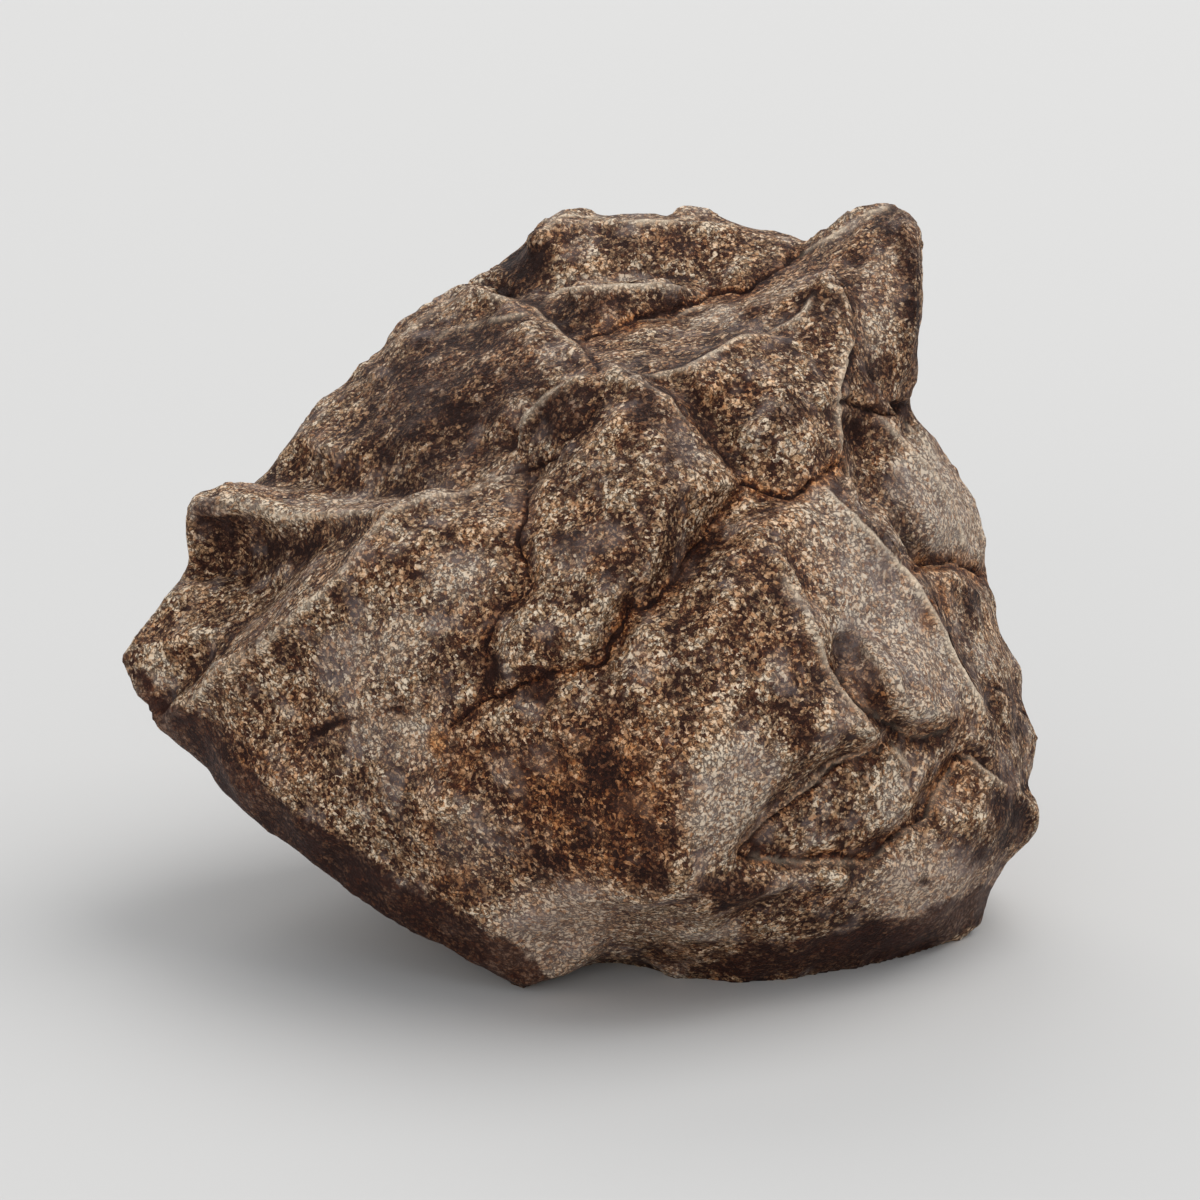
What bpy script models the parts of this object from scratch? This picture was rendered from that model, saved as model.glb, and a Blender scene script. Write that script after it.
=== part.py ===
"""A stony meteorite: one solid stone, modelled in metres with +Z up, resting on a worn flat facet.

The stone is described by landmarks: points on its ridges, ledges, cracks and outline, named after the
feature that they follow. Each is (across, up, near) in millimetres as seen from the front, from a view
that looks down by VIEW_TILT: across to the right, up the picture, and near towards the viewer.
"""
import math

import bmesh
import bpy
import numpy as np
from mathutils import Vector, noise

MM = 0.001

# Driving dimensions
VIEW_TILT = math.radians(15)      # how far the front view looks down
VIEW_DISTANCE = 600.0             # mm from the viewer to the plane near = 0
VIEW_MIDDLE_UP = 40.0             # mm, height of the view's middle line
CORE = (-1.0, 41.0, -5.0)         # a point deep in the stone, which sees every landmark
FACET_MIDDLE = (6.0, 7.4)         # mm, x and y of a point well inside the rest facet, the origin
GROUND = 4.3                      # mm, height of the rest facet before centring
VOXEL = 0.0004                    # m, grain of the remeshed surface
TRIANGLES = 9000                  # most triangles on the finished solid
LINE_SPACING = 2.2                # mm, widest gap between cage points along a line
CAGE_LEVELS = 3                   # times that each edge of the cage is halved
ROUNDING = (0.6, -0.62)           # how far a smoothing pass goes in, and the next one back out
ROUNDING_PAIRS = 3                # pairs of smoothing passes over the cage's edges
BROAD_WAVE = 9.0                  # mm, size of the broad dents and bumps
BROAD_HEIGHT = 0.45               # mm
FINE_WAVE = 3.2                   # mm, size of the small ones
FINE_HEIGHT = 0.22                # mm
HOLLOW_FALL = 1.5                 # how steeply a thumbprint hollow falls from its edge
CUTTER_SIZE = 0.3                 # m, side of the block that cuts the rest facet

# Outline of the stone, anticlockwise from the knob
OUTLINE = {
    "knob": [
        (-33.8, 51.8, -9), (-37.2, 51.8, -6), (-40.0, 50.3, -6), (-41.6, 47.5, -5), (-41.0, 43.7, -5),
    ],
    "left shoulder": [
        (-44.0, 39.0, -4), (-47.0, 36.3, -3), (-48.0, 34.2, -3), (-46.2, 30.3, -2), (-43.7, 26.8, -1),
    ],
    "lower left edge": [
        (-41.7, 25.0, 0), (-39.0, 22.7, 1), (-36.0, 18.9, 3), (-30.0, 14.6, 6), (-24.8, 10.5, 8),
        (-18.0, 6.2, 10), (-12.0, 3.4, 12), (-7.5, 1.1, 12), (-4.0, 2.1, 12),
    ],
    "bottom": [
        (0.0, 4.4, 10), (4.0, 3.9, 9), (7.5, 2.3, 8), (14.0, 2.0, 8), (20.0, 2.2, 7), (26.0, 3.2, 3),
        (31.0, 4.7, -2), (36.0, 6.3, -5), (38.5, 7.7, -6),
    ],
    "lower right block": [
        (39.3, 11.0, -6), (41.2, 14.0, -5), (43.8, 17.2, -4), (44.1, 18.2, -4), (42.4, 20.9, -4),
    ],
    "right lumps": [
        (43.5, 23.8, -8), (43.6, 26.2, -9), (42.6, 29.2, -10), (42.3, 33.0, -11), (40.3, 37.0, -12),
        (39.8, 40.0, -13), (38.5, 42.3, -13),
    ],
    "right bulge": [
        (38.9, 46.0, -15), (37.7, 50.3, -16), (36.0, 53.5, -17), (33.0, 56.0, -18), (31.2, 58.3, -18),
    ],
    "horn": [
        (30.8, 60.2, -5), (31.6, 63.2, -6), (32.0, 66.5, -6), (32.5, 71.0, -7), (32.2, 75.5, -8),
        (31.2, 78.3, -9), (29.8, 79.9, -10), (27.0, 80.0, -11), (24.0, 78.0, -12), (20.3, 75.7, -14),
    ],
    "top block": [
        (18.5, 76.8, -17), (15.8, 77.4, -18), (12.5, 78.3, -18), (8.5, 79.1, -19), (6.8, 78.4, -19),
        (2.5, 78.7, -19), (-2.0, 79.4, -19), (-4.2, 78.7, -19), (-6.5, 77.1, -19), (-9.0, 74.8, -19),
    ],
    "lump behind": [(-11.0, 73.7, -25), (-11.9, 71.6, -24)],
    "dome": [
        (-13.8, 71.3, -16), (-17.0, 69.6, -15), (-19.8, 67.8, -15), (-21.2, 66.2, -15), (-25.0, 63.0, -14),
        (-28.0, 60.1, -13), (-30.0, 57.4, -12), (-32.5, 54.0, -11),
    ],
}

# Lines on the front that the shape turns along: ridges, ledge edges, and the valleys that cracks run in
FRONT_LINES = {
    "left ridge": [
        (-43.2, 28.5, 1), (-41.0, 30.0, 5), (-38.5, 33.2, 9), (-35.0, 35.0, 12.5), (-32.0, 37.4, 14.5),
        (-27.8, 41.2, 17), (-24.8, 44.2, 18), (-21.5, 48.8, 17), (-18.0, 50.3, 16), (-13.0, 51.1, 15),
        (-10.0, 52.4, 15), (-7.6, 52.7, 15),
    ],
    "strip behind the left ridge": [
        (-43.6, 29.3, -2), (-42.0, 31.2, 0), (-40.0, 33.4, 2), (-38.0, 35.8, 4), (-34.5, 38.3, 6),
        (-32.0, 40.4, 8), (-28.5, 44.0, 10.5), (-25.5, 45.8, 12.5), (-23.2, 47.4, 14),
    ],
    "knob ledge edge": [
        (-41.0, 49.5, -4), (-39.5, 49.3, -2), (-37.5, 49.9, -1), (-35.5, 49.9, 0), (-34.0, 49.3, 1),
        (-31.2, 48.4, 3), (-28.5, 48.7, 6), (-25.0, 48.9, 10), (-23.0, 49.0, 13),
    ],
    "knob ledge back": [
        (-36.8, 51.3, -7), (-33.8, 51.3, -9), (-30.0, 51.4, -8), (-25.5, 51.1, -4), (-21.5, 50.9, 2),
        (-17.0, 50.9, 8), (-14.0, 51.6, 10), (-11.5, 52.8, 11),
    ],
    "valley under the knob": [
        (-41.0, 43.9, -6), (-38.0, 43.9, -5), (-35.5, 42.6, -2.5), (-33.5, 41.2, 1.5), (-31.5, 41.8, 4),
    ],
    "dome rim": [
        (-32.0, 52.6, -8), (-30.0, 57.0, -9), (-27.0, 59.7, -10), (-23.0, 63.5, -11), (-20.0, 66.2, -11),
        (-16.0, 68.4, -11), (-12.8, 70.8, -11),
    ],
    "dome ridge": [
        (-11.5, 71.2, -10), (-8.2, 69.9, -6.5), (-6.3, 69.2, -4.5), (-4.1, 66.9, 0), (-1.9, 65.3, 5),
        (-1.0, 63.8, 9),
    ],
    "behind the dome ridge": [
        (-9.0, 70.8, -11), (-6.0, 70.2, -10), (-4.0, 68.2, -5), (-1.8, 66.4, 0), (-0.4, 64.8, 5),
    ],
    "nose rim": [
        (-8.6, 55.5, 12), (-8.5, 56.6, 12.5), (-7.5, 58.6, 13), (-5.2, 60.7, 14), (-2.6, 62.3, 15),
        (-0.6, 63.0, 16), (2.5, 62.2, 17), (5.5, 61.2, 18), (7.5, 59.9, 18.5), (9.0, 58.3, 19),
        (11.0, 55.4, 20), (14.3, 51.4, 21),
    ],
    "behind the nose rim": [
        (1.2, 63.8, 11), (3.0, 62.9, 12), (6.0, 62.0, 13), (8.3, 60.4, 14), (10.0, 58.3, 15),
        (12.3, 54.8, 16.5), (15.0, 51.6, 18.5),
    ],
    "floor of the hollow": [(-7.6, 55.0, 10.5), (-6.3, 57.0, 10.5), (-4.0, 58.9, 11.5), (-1.4, 60.9, 13.5)],
    "nose hollow crack": [
        (-0.1, 60.5, 17.5), (-0.4, 58.8, 18.5), (-1.9, 57.1, 19), (-3.8, 55.8, 18.5), (-4.3, 54.4, 18),
        (-6.5, 53.1, 16), (-8.0, 52.8, 15),
    ],
    "vertical crack": [
        (-7.4, 51.0, 18), (-7.4, 49.5, 20), (-8.2, 46.0, 22), (-7.2, 42.0, 23.5), (-9.2, 39.5, 24),
        (-11.0, 37.0, 24), (-11.7, 33.5, 23.5), (-11.0, 31.0, 24),
    ],
    "edge of the nose block": [(-6.2, 46.0, 24), (-5.6, 42.0, 26.5), (-8.0, 37.8, 27.5), (-9.6, 34.5, 27)],
    "diagonal crack": [
        (14.3, 50.6, 19), (12.5, 49.0, 20), (10.2, 46.0, 22), (8.5, 43.5, 24), (6.2, 40.5, 26),
        (3.0, 39.0, 27.5), (1.7, 36.8, 27.5), (0.2, 33.8, 28), (-4.0, 32.7, 28), (-7.5, 31.6, 27),
        (-10.5, 30.2, 26), (-13.2, 28.4, 24.5),
    ],
    "lobe ridge": [
        (18.0, 43.5, 26), (20.5, 39.5, 27), (21.7, 36.5, 27.5), (22.2, 34.5, 27), (22.9, 33.0, 26.5),
        (25.4, 30.0, 26), (27.0, 28.0, 25.5), (28.4, 26.2, 24.5),
    ],
    "beside the lobe ridge": [(20.2, 43.5, 23.5), (22.3, 39.5, 24), (23.4, 36.8, 23)],
    "lobe crack": [
        (28.2, 24.9, 20.5), (26.5, 24.2, 21), (23.8, 23.4, 22), (20.5, 20.6, 23), (17.5, 18.4, 24),
        (15.5, 16.4, 25), (14.2, 14.6, 26.5),
    ],
    "right ridge": [
        (22.2, 51.7, 17), (25.0, 49.0, 17), (29.0, 45.3, 16.5), (32.2, 41.3, 15.5), (35.0, 36.1, 13.5),
        (37.0, 32.1, 11.5), (38.6, 28.1, 9.5),
    ],
    "behind the right ridge": [
        (24.0, 52.6, 12), (26.4, 49.6, 11), (30.2, 46.0, 9), (33.2, 42.2, 8), (35.9, 37.2, 6.5),
        (38.0, 33.0, 4.5), (39.4, 29.0, 3.5),
    ],
    "fist rim": [
        (24.5, 35.3, 21), (26.3, 35.1, 22), (28.1, 34.1, 23), (28.9, 32.7, 23.5), (29.3, 31.1, 23.5),
        (29.6, 29.5, 23), (31.6, 29.3, 22), (33.9, 28.4, 19.5), (35.6, 28.0, 17),
    ],
    "fist foot": [
        (23.5, 33.6, 22), (25.5, 30.4, 21), (27.3, 28.3, 21), (29.0, 27.0, 20), (31.0, 26.2, 18.5),
        (32.8, 26.0, 16.5), (34.8, 26.5, 14.5), (36.0, 27.8, 13.5),
    ],
    "panel crack": [
        (14.2, 14.3, 25), (17.0, 14.0, 23), (20.0, 14.2, 21), (23.5, 14.4, 19.5), (26.5, 14.0, 17.5),
        (29.0, 16.0, 16), (31.5, 18.0, 14.5), (33.5, 20.5, 13), (35.5, 23.2, 11), (37.3, 24.2, 9),
    ],
    "block rim": [(37.6, 23.6, 10), (39.0, 23.0, 9), (40.3, 22.0, 6), (41.8, 20.9, 2)],
    "bulge ridge": [
        (28.4, 57.4, 0), (30.5, 55.9, 0), (32.2, 54.2, -0.5), (33.7, 52.3, -1.5), (35.2, 49.0, -3),
        (36.0, 45.2, -4),
    ],
    "bulge notch": [(31.4, 57.4, -8), (32.4, 55.8, -8), (33.2, 54.2, -8)],
    "bulge foot": [(30.2, 44.9, 5), (32.0, 43.9, 3), (34.5, 44.2, 0), (36.6, 44.0, -4), (38.4, 42.6, -10)],
    "second lump edge": [(31.6, 43.0, 7), (34.0, 42.8, 5), (36.2, 42.6, 2), (38.0, 41.2, -3)],
    "horn ridge": [(20.5, 74.8, -11), (24.0, 75.8, -9), (27.5, 78.0, -7), (29.7, 79.2, -7)],
    "horn face edge": [
        (31.0, 77.0, -5.5), (31.5, 73.0, -3.5), (31.6, 70.0, -2.5), (30.8, 66.0, -1.5), (30.2, 61.5, -1),
    ],
    "horn bottom edge": [(24.8, 60.1, 5), (27.0, 59.2, 5), (29.2, 59.4, 3), (30.6, 60.3, -1)],
    "under the horn": [(24.8, 58.7, 1), (26.6, 58.1, 0), (28.4, 58.4, -3)],
    "buttress edge": [
        (22.8, 72.1, 4), (24.2, 71.0, 4.5), (25.2, 69.0, 5), (25.8, 66.5, 6), (25.0, 64.2, 8),
        (24.1, 61.5, 10), (24.1, 58.0, 11.5), (24.5, 54.2, 12.5), (26.0, 49.4, 13.5),
    ],
    "behind the buttress edge": [
        (23.2, 73.2, -3.5), (24.9, 71.8, -0.8), (25.9, 69.6, 0.5), (26.5, 66.5, 1.8), (25.9, 63.4, 3.2),
        (25.2, 61.6, 4),
    ],
    "beside the buttress foot": [(25.2, 57.0, 4), (25.6, 53.4, 6.5), (27.2, 49.2, 8)],
    "saddle rim": [
        (21.6, 71.2, 3.5), (20.0, 68.6, 5.5), (17.0, 66.8, 8), (14.0, 66.3, 9.5), (11.0, 64.8, 11.5),
        (8.5, 63.3, 13), (5.5, 62.6, 13),
    ],
    "crack under the wedge": [
        (-1.5, 66.2, 0), (0.7, 66.8, -0.8), (2.9, 67.7, -1.8), (4.5, 68.6, -2.8), (7.3, 69.0, -4.5),
        (11.0, 70.6, -7.5), (14.7, 71.2, -8.5), (18.0, 73.2, -10), (20.2, 74.6, -12),
    ],
    "wedge rim": [
        (-3.9, 71.0, -5.5), (-1.5, 71.4, -5), (1.1, 71.5, -4.5), (3.6, 71.8, -4.5), (6.2, 71.8, -5.5),
        (8.8, 71.2, -7),
    ],
    "top block foot": [
        (-9.2, 71.6, -14), (-6.5, 71.2, -11.5), (-3.6, 71.9, -10), (0.0, 72.4, -9.5), (4.0, 72.6, -9.5),
        (8.0, 72.0, -9.5), (11.2, 71.4, -9.5),
    ],
    "left edge of the top block": [(-5.8, 76.5, -13.5), (-5.2, 74.5, -12), (-4.8, 72.8, -10.8)],
    "top rim": [
        (-7.2, 76.3, -14), (-4.2, 77.8, -14), (0.0, 78.0, -14), (4.0, 77.6, -14), (8.0, 77.8, -14),
        (13.0, 77.2, -14), (17.2, 76.0, -14),
    ],
}

# Single points on the faces between those lines
FRONT_FACES = {
    "left shoulder": [
        (-43.0, 40.5, -3), (-40.0, 41.5, -2), (-36.5, 40.5, 1), (-45.5, 35.0, 0), (-41.5, 36.8, 2),
        (-43.6, 32.0, 0), (-33.0, 40.2, 4),
    ],
    "knob face": [
        (-40.2, 46.5, -4), (-37.0, 46.8, -3), (-34.0, 45.5, -1), (-31.0, 44.8, 3), (-28.0, 46.0, 6.5),
        (-25.5, 47.3, 9.5),
    ],
    "left face": [
        (-14.0, 42.0, 23), (-20.0, 40.0, 21), (-25.0, 35.5, 17.5), (-30.0, 30.0, 13), (-35.0, 25.5, 9),
        (-40.0, 27.4, 4), (-16.0, 47.5, 19.5), (-10.5, 47.5, 21), (-20.5, 45.5, 20), (-14.0, 37.0, 23.5),
        (-18.0, 33.0, 22), (-23.0, 28.0, 18.5), (-27.0, 22.5, 14), (-31.5, 20.5, 11), (-17.3, 26.5, 21),
        (-16.0, 19.0, 22), (-21.0, 15.5, 15.5), (-25.0, 17.0, 14), (-30.5, 17.0, 10), (-15.0, 11.0, 18),
        (-20.0, 9.8, 12.5), (-10.0, 6.5, 17), (-36.5, 21.5, 6), (-14.0, 31.0, 24), (-22.0, 20.5, 17.5),
    ],
    "dome": [
        (-28.0, 55.0, -4), (-22.0, 60.0, -5), (-18.0, 64.0, -6), (-14.0, 67.0, -7), (-25.0, 53.4, -1),
        (-20.0, 56.0, 2), (-15.0, 60.0, 2), (-10.0, 66.5, -2), (-6.0, 65.0, 4), (-12.0, 56.0, 7),
        (-10.8, 54.4, 10), (-17.0, 53.0, 6), (-28.5, 52.4, -3), (-4.5, 62.4, 8), (-9.0, 61.8, 5),
        (-10.0, 58.5, 8), (-21.0, 52.6, 2), (-12.0, 62.8, 2), (-7.5, 67.5, 0), (-22.5, 56.8, -2),
    ],
    "nose block": [
        (1.5, 58.0, 21), (-2.0, 54.5, 21), (-5.4, 51.0, 21), (5.5, 56.5, 23), (2.0, 50.0, 26.5),
        (8.0, 52.0, 25.5), (-2.5, 45.0, 27), (4.0, 43.5, 29), (11.0, 51.5, 23.5), (0.0, 40.0, 30),
        (-5.5, 37.5, 28.5), (-1.5, 35.0, 30), (-7.5, 33.5, 28.5), (6.0, 47.0, 28),
    ],
    "front bulge": [
        (5.0, 30.0, 32), (4.0, 24.0, 32), (0.0, 20.0, 30), (-4.0, 26.0, 29), (-8.0, 24.0, 26.5),
        (10.0, 36.0, 31), (13.0, 40.5, 29), (16.0, 46.5, 25), (19.0, 49.3, 21), (14.0, 32.0, 30.5),
        (11.0, 24.0, 33), (10.0, 18.0, 32), (15.5, 26.0, 30), (17.5, 37.0, 28), (19.5, 31.0, 29),
        (12.0, 44.5, 25), (-10.0, 17.0, 23.5), (-5.0, 14.0, 25), (2.0, 14.0, 29), (8.0, 12.5, 30),
        (14.5, 20.0, 29), (-9.0, 11.5, 21), (5.5, 36.0, 30), (17.0, 42.5, 26.5), (-12.0, 24.0, 23.5),
    ],
    "turning under": [
        (0.0, 10.0, 25), (5.0, 9.8, 27), (10.0, 10.7, 28), (16.0, 10.8, 25), (4.0, 7.2, 18),
        (10.0, 6.2, 17), (15.0, 5.0, 13), (0.0, 6.7, 16), (-4.5, 5.5, 15), (22.0, 8.0, 16),
        (20.0, 5.0, 12), (26.0, 5.5, 9), (-5.0, 9.0, 21),
    ],
    "lobe": [(22.0, 27.5, 29), (19.0, 23.6, 28.5), (24.8, 27.0, 27.5), (16.8, 21.0, 28)],
    "right flank": [
        (23.5, 47.5, 19), (27.5, 43.0, 18.5), (25.5, 40.5, 21), (30.5, 38.8, 18), (33.0, 36.8, 15.5),
        (26.5, 37.6, 20.5), (21.0, 46.8, 21.5),
    ],
    "fist lump": [(26.5, 33.0, 21.8), (31.6, 33.2, 20.8), (32.8, 31.0, 20.5), (35.0, 30.0, 16.5)],
    "panel": [
        (20.0, 17.4, 23.4), (25.0, 20.2, 21.8), (29.0, 21.0, 19.5), (29.5, 18.0, 18.2), (23.0, 16.2, 21.8),
        (33.0, 23.5, 16), (30.5, 24.3, 18),
    ],
    "lower right block": [
        (34.5, 18.5, 14), (38.0, 18.5, 10.5), (41.0, 18.0, 5), (32.5, 12.0, 13), (36.0, 12.0, 9),
        (38.2, 12.5, 4), (30.0, 8.0, 10), (25.0, 10.0, 16), (33.5, 7.0, 4), (28.5, 13.5, 17.5),
        (20.5, 12.0, 21.5), (24.5, 12.5, 20), (31.5, 16.0, 16),
    ],
    "right bulge": [
        (26.2, 56.6, 4), (26.8, 52.5, 7), (28.8, 48.5, 8.5), (31.5, 50.0, 4), (29.2, 54.0, 4),
        (37.3, 48.0, -10), (30.0, 57.6, -5), (35.2, 52.6, -10), (33.6, 47.0, 2),
    ],
    "second lump": [(35.2, 39.8, 6), (37.8, 36.8, 2), (39.2, 38.0, -4), (40.6, 34.0, -3)],
    "third lump": [(40.2, 30.0, 3), (41.4, 28.0, 1), (42.3, 26.2, -3), (40.4, 25.4, 5), (41.8, 24.0, 1)],
    "horn": [
        (26.4, 74.0, -5.5), (29.0, 74.8, -2.8), (29.5, 70.5, -0.5), (28.6, 66.5, 1.8), (27.8, 62.5, 4),
        (26.8, 71.0, -2.5),
    ],
    "buttress": [
        (20.5, 65.0, 10), (15.0, 63.3, 13), (10.5, 61.2, 16), (16.0, 57.5, 17.5), (22.0, 60.0, 13.5),
        (20.5, 54.5, 17), (14.0, 56.5, 17.5), (17.5, 51.6, 18.5), (20.2, 51.2, 17.5), (23.0, 68.0, 7),
        (18.5, 60.5, 15.5),
    ],
    "saddle": [
        (2.0, 65.2, 5), (6.0, 65.8, 4), (10.0, 67.4, 1.5), (12.0, 69.2, -3), (16.0, 69.6, -2),
        (18.6, 71.0, -3), (4.0, 67.2, 0.5), (20.5, 72.8, -7),
    ],
    "wedge": [(-3.0, 69.2, -3), (0.5, 69.4, -2.2), (4.5, 70.2, -3.6)],
    "top block": [
        (-8.3, 73.8, -15), (-1.0, 75.2, -11.5), (4.0, 75.3, -11.5), (9.0, 75.0, -11.5), (14.0, 74.8, -12),
    ],
}

# The back and the underside, which turn away from the front view
BACK = {
    "behind the knob": [
        (-38.0, 48.0, -14), (-40.5, 41.0, -14), (-44.0, 35.0, -11), (-42.0, 29.0, -11),
        (-34.0, 49.0, -20), (-38.0, 38.0, -22), (-37.0, 29.0, -20),
    ],
    "left underside": [
        (-36.5, 21.0, -6), (-31.0, 17.0, -3), (-24.0, 12.0, -1), (-32.0, 21.0, -15), (-25.0, 16.0, -13),
        (-17.0, 8.5, 2), (-18.0, 11.5, -12), (-29.0, 27.0, -26), (-22.0, 20.0, -25),
    ],
    "rest facet": [
        (-8.0, 1.2, 8.5), (-5.0, 2.8, 3), (0.0, 4.0, -1.5), (5.0, 3.4, 0.5), (9.5, 1.9, 6), (14.0, 1.7, 5),
        (22.0, 2.5, 2), (26.0, 3.9, -3), (28.0, 5.8, -10), (25.0, 8.2, -18), (14.0, 9.4, -22),
        (2.0, 9.9, -24), (-8.0, 8.7, -19), (-12.0, 5.5, -8), (6.0, 5.6, -9), (18.0, 5.8, -10),
    ],
    "right underside": [
        (36.0, 8.5, -13), (38.5, 12.0, -15), (34.5, 11.5, -22), (41.0, 18.0, -13),
    ],
    "right back": [
        (41.0, 24.5, -17), (39.5, 31.0, -19), (37.5, 38.0, -21), (36.5, 45.0, -23), (37.5, 22.0, -25),
        (34.0, 32.0, -29), (32.0, 42.0, -32), (32.5, 50.5, -25), (29.5, 57.0, -25), (31.0, 16.5, -30),
    ],
    "behind the dome": [
        (-29.0, 55.0, -19), (-24.0, 59.5, -23), (-19.0, 65.0, -22), (-29.0, 46.5, -28), (-21.0, 54.0, -32),
        (-14.0, 62.5, -31), (-12.5, 69.0, -27),
    ],
    "behind the horn": [
        (28.5, 77.5, -16), (23.0, 75.0, -19), (30.5, 70.0, -15), (29.5, 63.5, -17), (26.0, 68.0, -24),
        (20.0, 70.5, -27),
    ],
    "behind the top block": [
        (14.0, 75.5, -26), (6.0, 76.0, -28), (-2.0, 76.2, -27), (-8.0, 73.5, -27), (11.0, 69.0, -35),
        (0.0, 69.0, -36), (-9.0, 66.5, -34),
    ],
    "back face": [
        (20.0, 60.0, -34), (8.0, 60.0, -41), (-4.0, 59.0, -40), (-14.0, 52.0, -38), (25.0, 49.0, -37),
        (14.0, 49.0, -43), (2.0, 48.5, -42), (-9.0, 43.0, -42), (-21.0, 43.0, -36), (-29.0, 37.0, -31),
        (21.0, 37.0, -41), (8.0, 37.0, -45), (-4.0, 33.0, -43), (-17.0, 32.0, -37), (26.0, 27.0, -37),
        (14.0, 26.0, -42), (2.0, 24.0, -41), (-10.0, 22.5, -35), (22.0, 17.5, -34), (10.0, 16.0, -36),
        (-2.0, 15.5, -33), (-13.0, 14.5, -26),
    ],
}

# Cracks pressed into the front: reach to each side and depth in mm, then the points that each passes,
# without near
FRONT_CRACKS = {
    "vertical": (1.0, 1.0, [
        (-0.4, 60.0), (-1.2, 57.8), (-4.2, 55.8), (-5.4, 53.6), (-7.4, 52.8), (-7.4, 49.5), (-8.2, 46.0),
        (-7.2, 41.5), (-10.0, 38.8), (-11.5, 36.0), (-11.6, 32.5), (-10.8, 30.6),
    ]),
    "diagonal": (1.0, 1.2, [
        (14.3, 51.2), (12.5, 49.0), (10.2, 46.0), (8.5, 43.5), (6.2, 40.5), (3.0, 39.0), (1.7, 36.8),
        (0.2, 33.8), (-4.0, 32.8), (-7.5, 31.7), (-12.0, 30.0), (-14.5, 27.5),
    ]),
    "right": (0.9, 1.0, [(14.3, 51.2), (17.5, 50.5), (20.0, 50.6), (22.2, 52.1), (24.2, 54.0)]),
    "lobe": (0.9, 1.0, [
        (33.0, 26.2), (30.0, 26.8), (28.6, 25.0), (23.8, 23.5), (20.5, 20.7), (17.5, 18.5), (14.0, 14.6),
    ]),
    "panel": (0.9, 0.9, [
        (14.0, 14.4), (20.0, 14.1), (26.5, 13.9), (29.5, 16.6), (33.0, 19.6), (35.5, 23.1), (37.5, 24.1),
    ]),
    "top block": (1.1, 1.2, [(-9.5, 71.2), (-4.5, 71.2)]),
    "saddle": (0.9, 0.8, [(4.0, 68.6), (8.0, 69.4), (12.5, 71.0), (16.0, 72.0), (20.3, 75.0)]),
    "bulge foot": (0.9, 1.0, [(30.5, 45.0), (33.0, 44.0), (35.5, 44.3), (38.4, 42.6)]),
}

# Cracks across the back and top: reach and depth in mm, then whole points
BACK_CRACKS = {
    "long back": (3.2, 1.6, [
        (-26.0, 56.0, -26), (-15.0, 50.0, -38), (-2.0, 44.0, -43), (9.0, 42.0, -44), (20.0, 33.0, -41),
        (33.0, 27.0, -30),
    ]),
    "short back": (2.6, 1.2, [(9.0, 42.0, -44), (12.0, 54.0, -42), (9.0, 65.0, -38), (15.0, 73.0, -29)]),
    "low back": (2.6, 1.2, [(-30.0, 32.0, -29), (-18.0, 26.0, -35), (-4.0, 24.0, -40), (6.0, 18.0, -38)]),
}

# Thumbprint hollows on the back and sides, as middle, radius and depth
BACK_HOLLOWS = [
    ((19.0, 50.0, -41), 10.0, 2.0), ((24.0, 64.0, -29), 8.0, 1.6), ((2.0, 56.0, -42), 9.0, 1.8),
    ((-8.0, 35.0, -42), 10.0, 2.2), ((12.0, 28.0, -43), 9.0, 1.8), ((-27.0, 42.0, -33), 9.0, 1.8),
    ((-35.0, 32.0, -22), 7.0, 1.4), ((30.0, 36.0, -32), 8.0, 1.6), ((38.0, 28.0, -20), 6.0, 1.2),
    ((-22.0, 20.0, -22), 8.0, 1.5), ((-26.0, 14.5, -6), 7.0, 1.0), ((36.5, 46.0, -23), 6.0, 1.1),
    ((1.0, 74.0, -31), 7.0, 1.2),
]


def to_world(across, up, near):
    """The point, in metres, that the front view shows at across and up, near mm towards the viewer."""
    spread = (VIEW_DISTANCE - near) / VIEW_DISTANCE
    side = across * spread
    height = VIEW_MIDDLE_UP + (up - VIEW_MIDDLE_UP) * spread
    y = height * math.sin(VIEW_TILT) - near * math.cos(VIEW_TILT) - FACET_MIDDLE[1]
    z = height * math.cos(VIEW_TILT) + near * math.sin(VIEW_TILT) - GROUND
    return Vector((side - FACET_MIDDLE[0], y, z)) * MM


def as_seen(points):
    """Across and up, in mm, of world points in metres, as the front view shows them."""
    x = points[:, 0] / MM + FACET_MIDDLE[0]
    y = points[:, 1] / MM + FACET_MIDDLE[1]
    z = points[:, 2] / MM + GROUND
    near = z * math.sin(VIEW_TILT) - y * math.cos(VIEW_TILT)
    height = z * math.cos(VIEW_TILT) + y * math.sin(VIEW_TILT)
    spread = (VIEW_DISTANCE - near) / VIEW_DISTANCE
    up = VIEW_MIDDLE_UP + (height - VIEW_MIDDLE_UP) / spread
    return np.column_stack((x / spread, up))


def distance_to_path(points, path):
    """Distance of each point from a path of straight pieces, in the path's own number of dimensions."""
    path = np.array(path, dtype=float)
    best = np.full(len(points), np.inf)
    for start, end in zip(path[:-1], path[1:]):
        along = end - start
        share = np.clip((points - start) @ along / (along @ along), 0.0, 1.0)
        gap = points - (start + share[:, None] * along)
        best = np.minimum(best, np.linalg.norm(gap, axis=1))
    return best


def read_points(mesh):
    points = np.empty(len(mesh.vertices) * 3)
    mesh.vertices.foreach_get("co", points)
    return points.reshape(-1, 3)


def read_normals(mesh):
    normals = np.empty(len(mesh.vertices) * 3)
    mesh.vertices.foreach_get("normal", normals)
    return normals.reshape(-1, 3)


def write_points(mesh, points):
    mesh.vertices.foreach_set("co", points.ravel())
    mesh.update()


def clear_scene():
    for thing in list(bpy.data.objects):
        bpy.data.objects.remove(thing)


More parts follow.
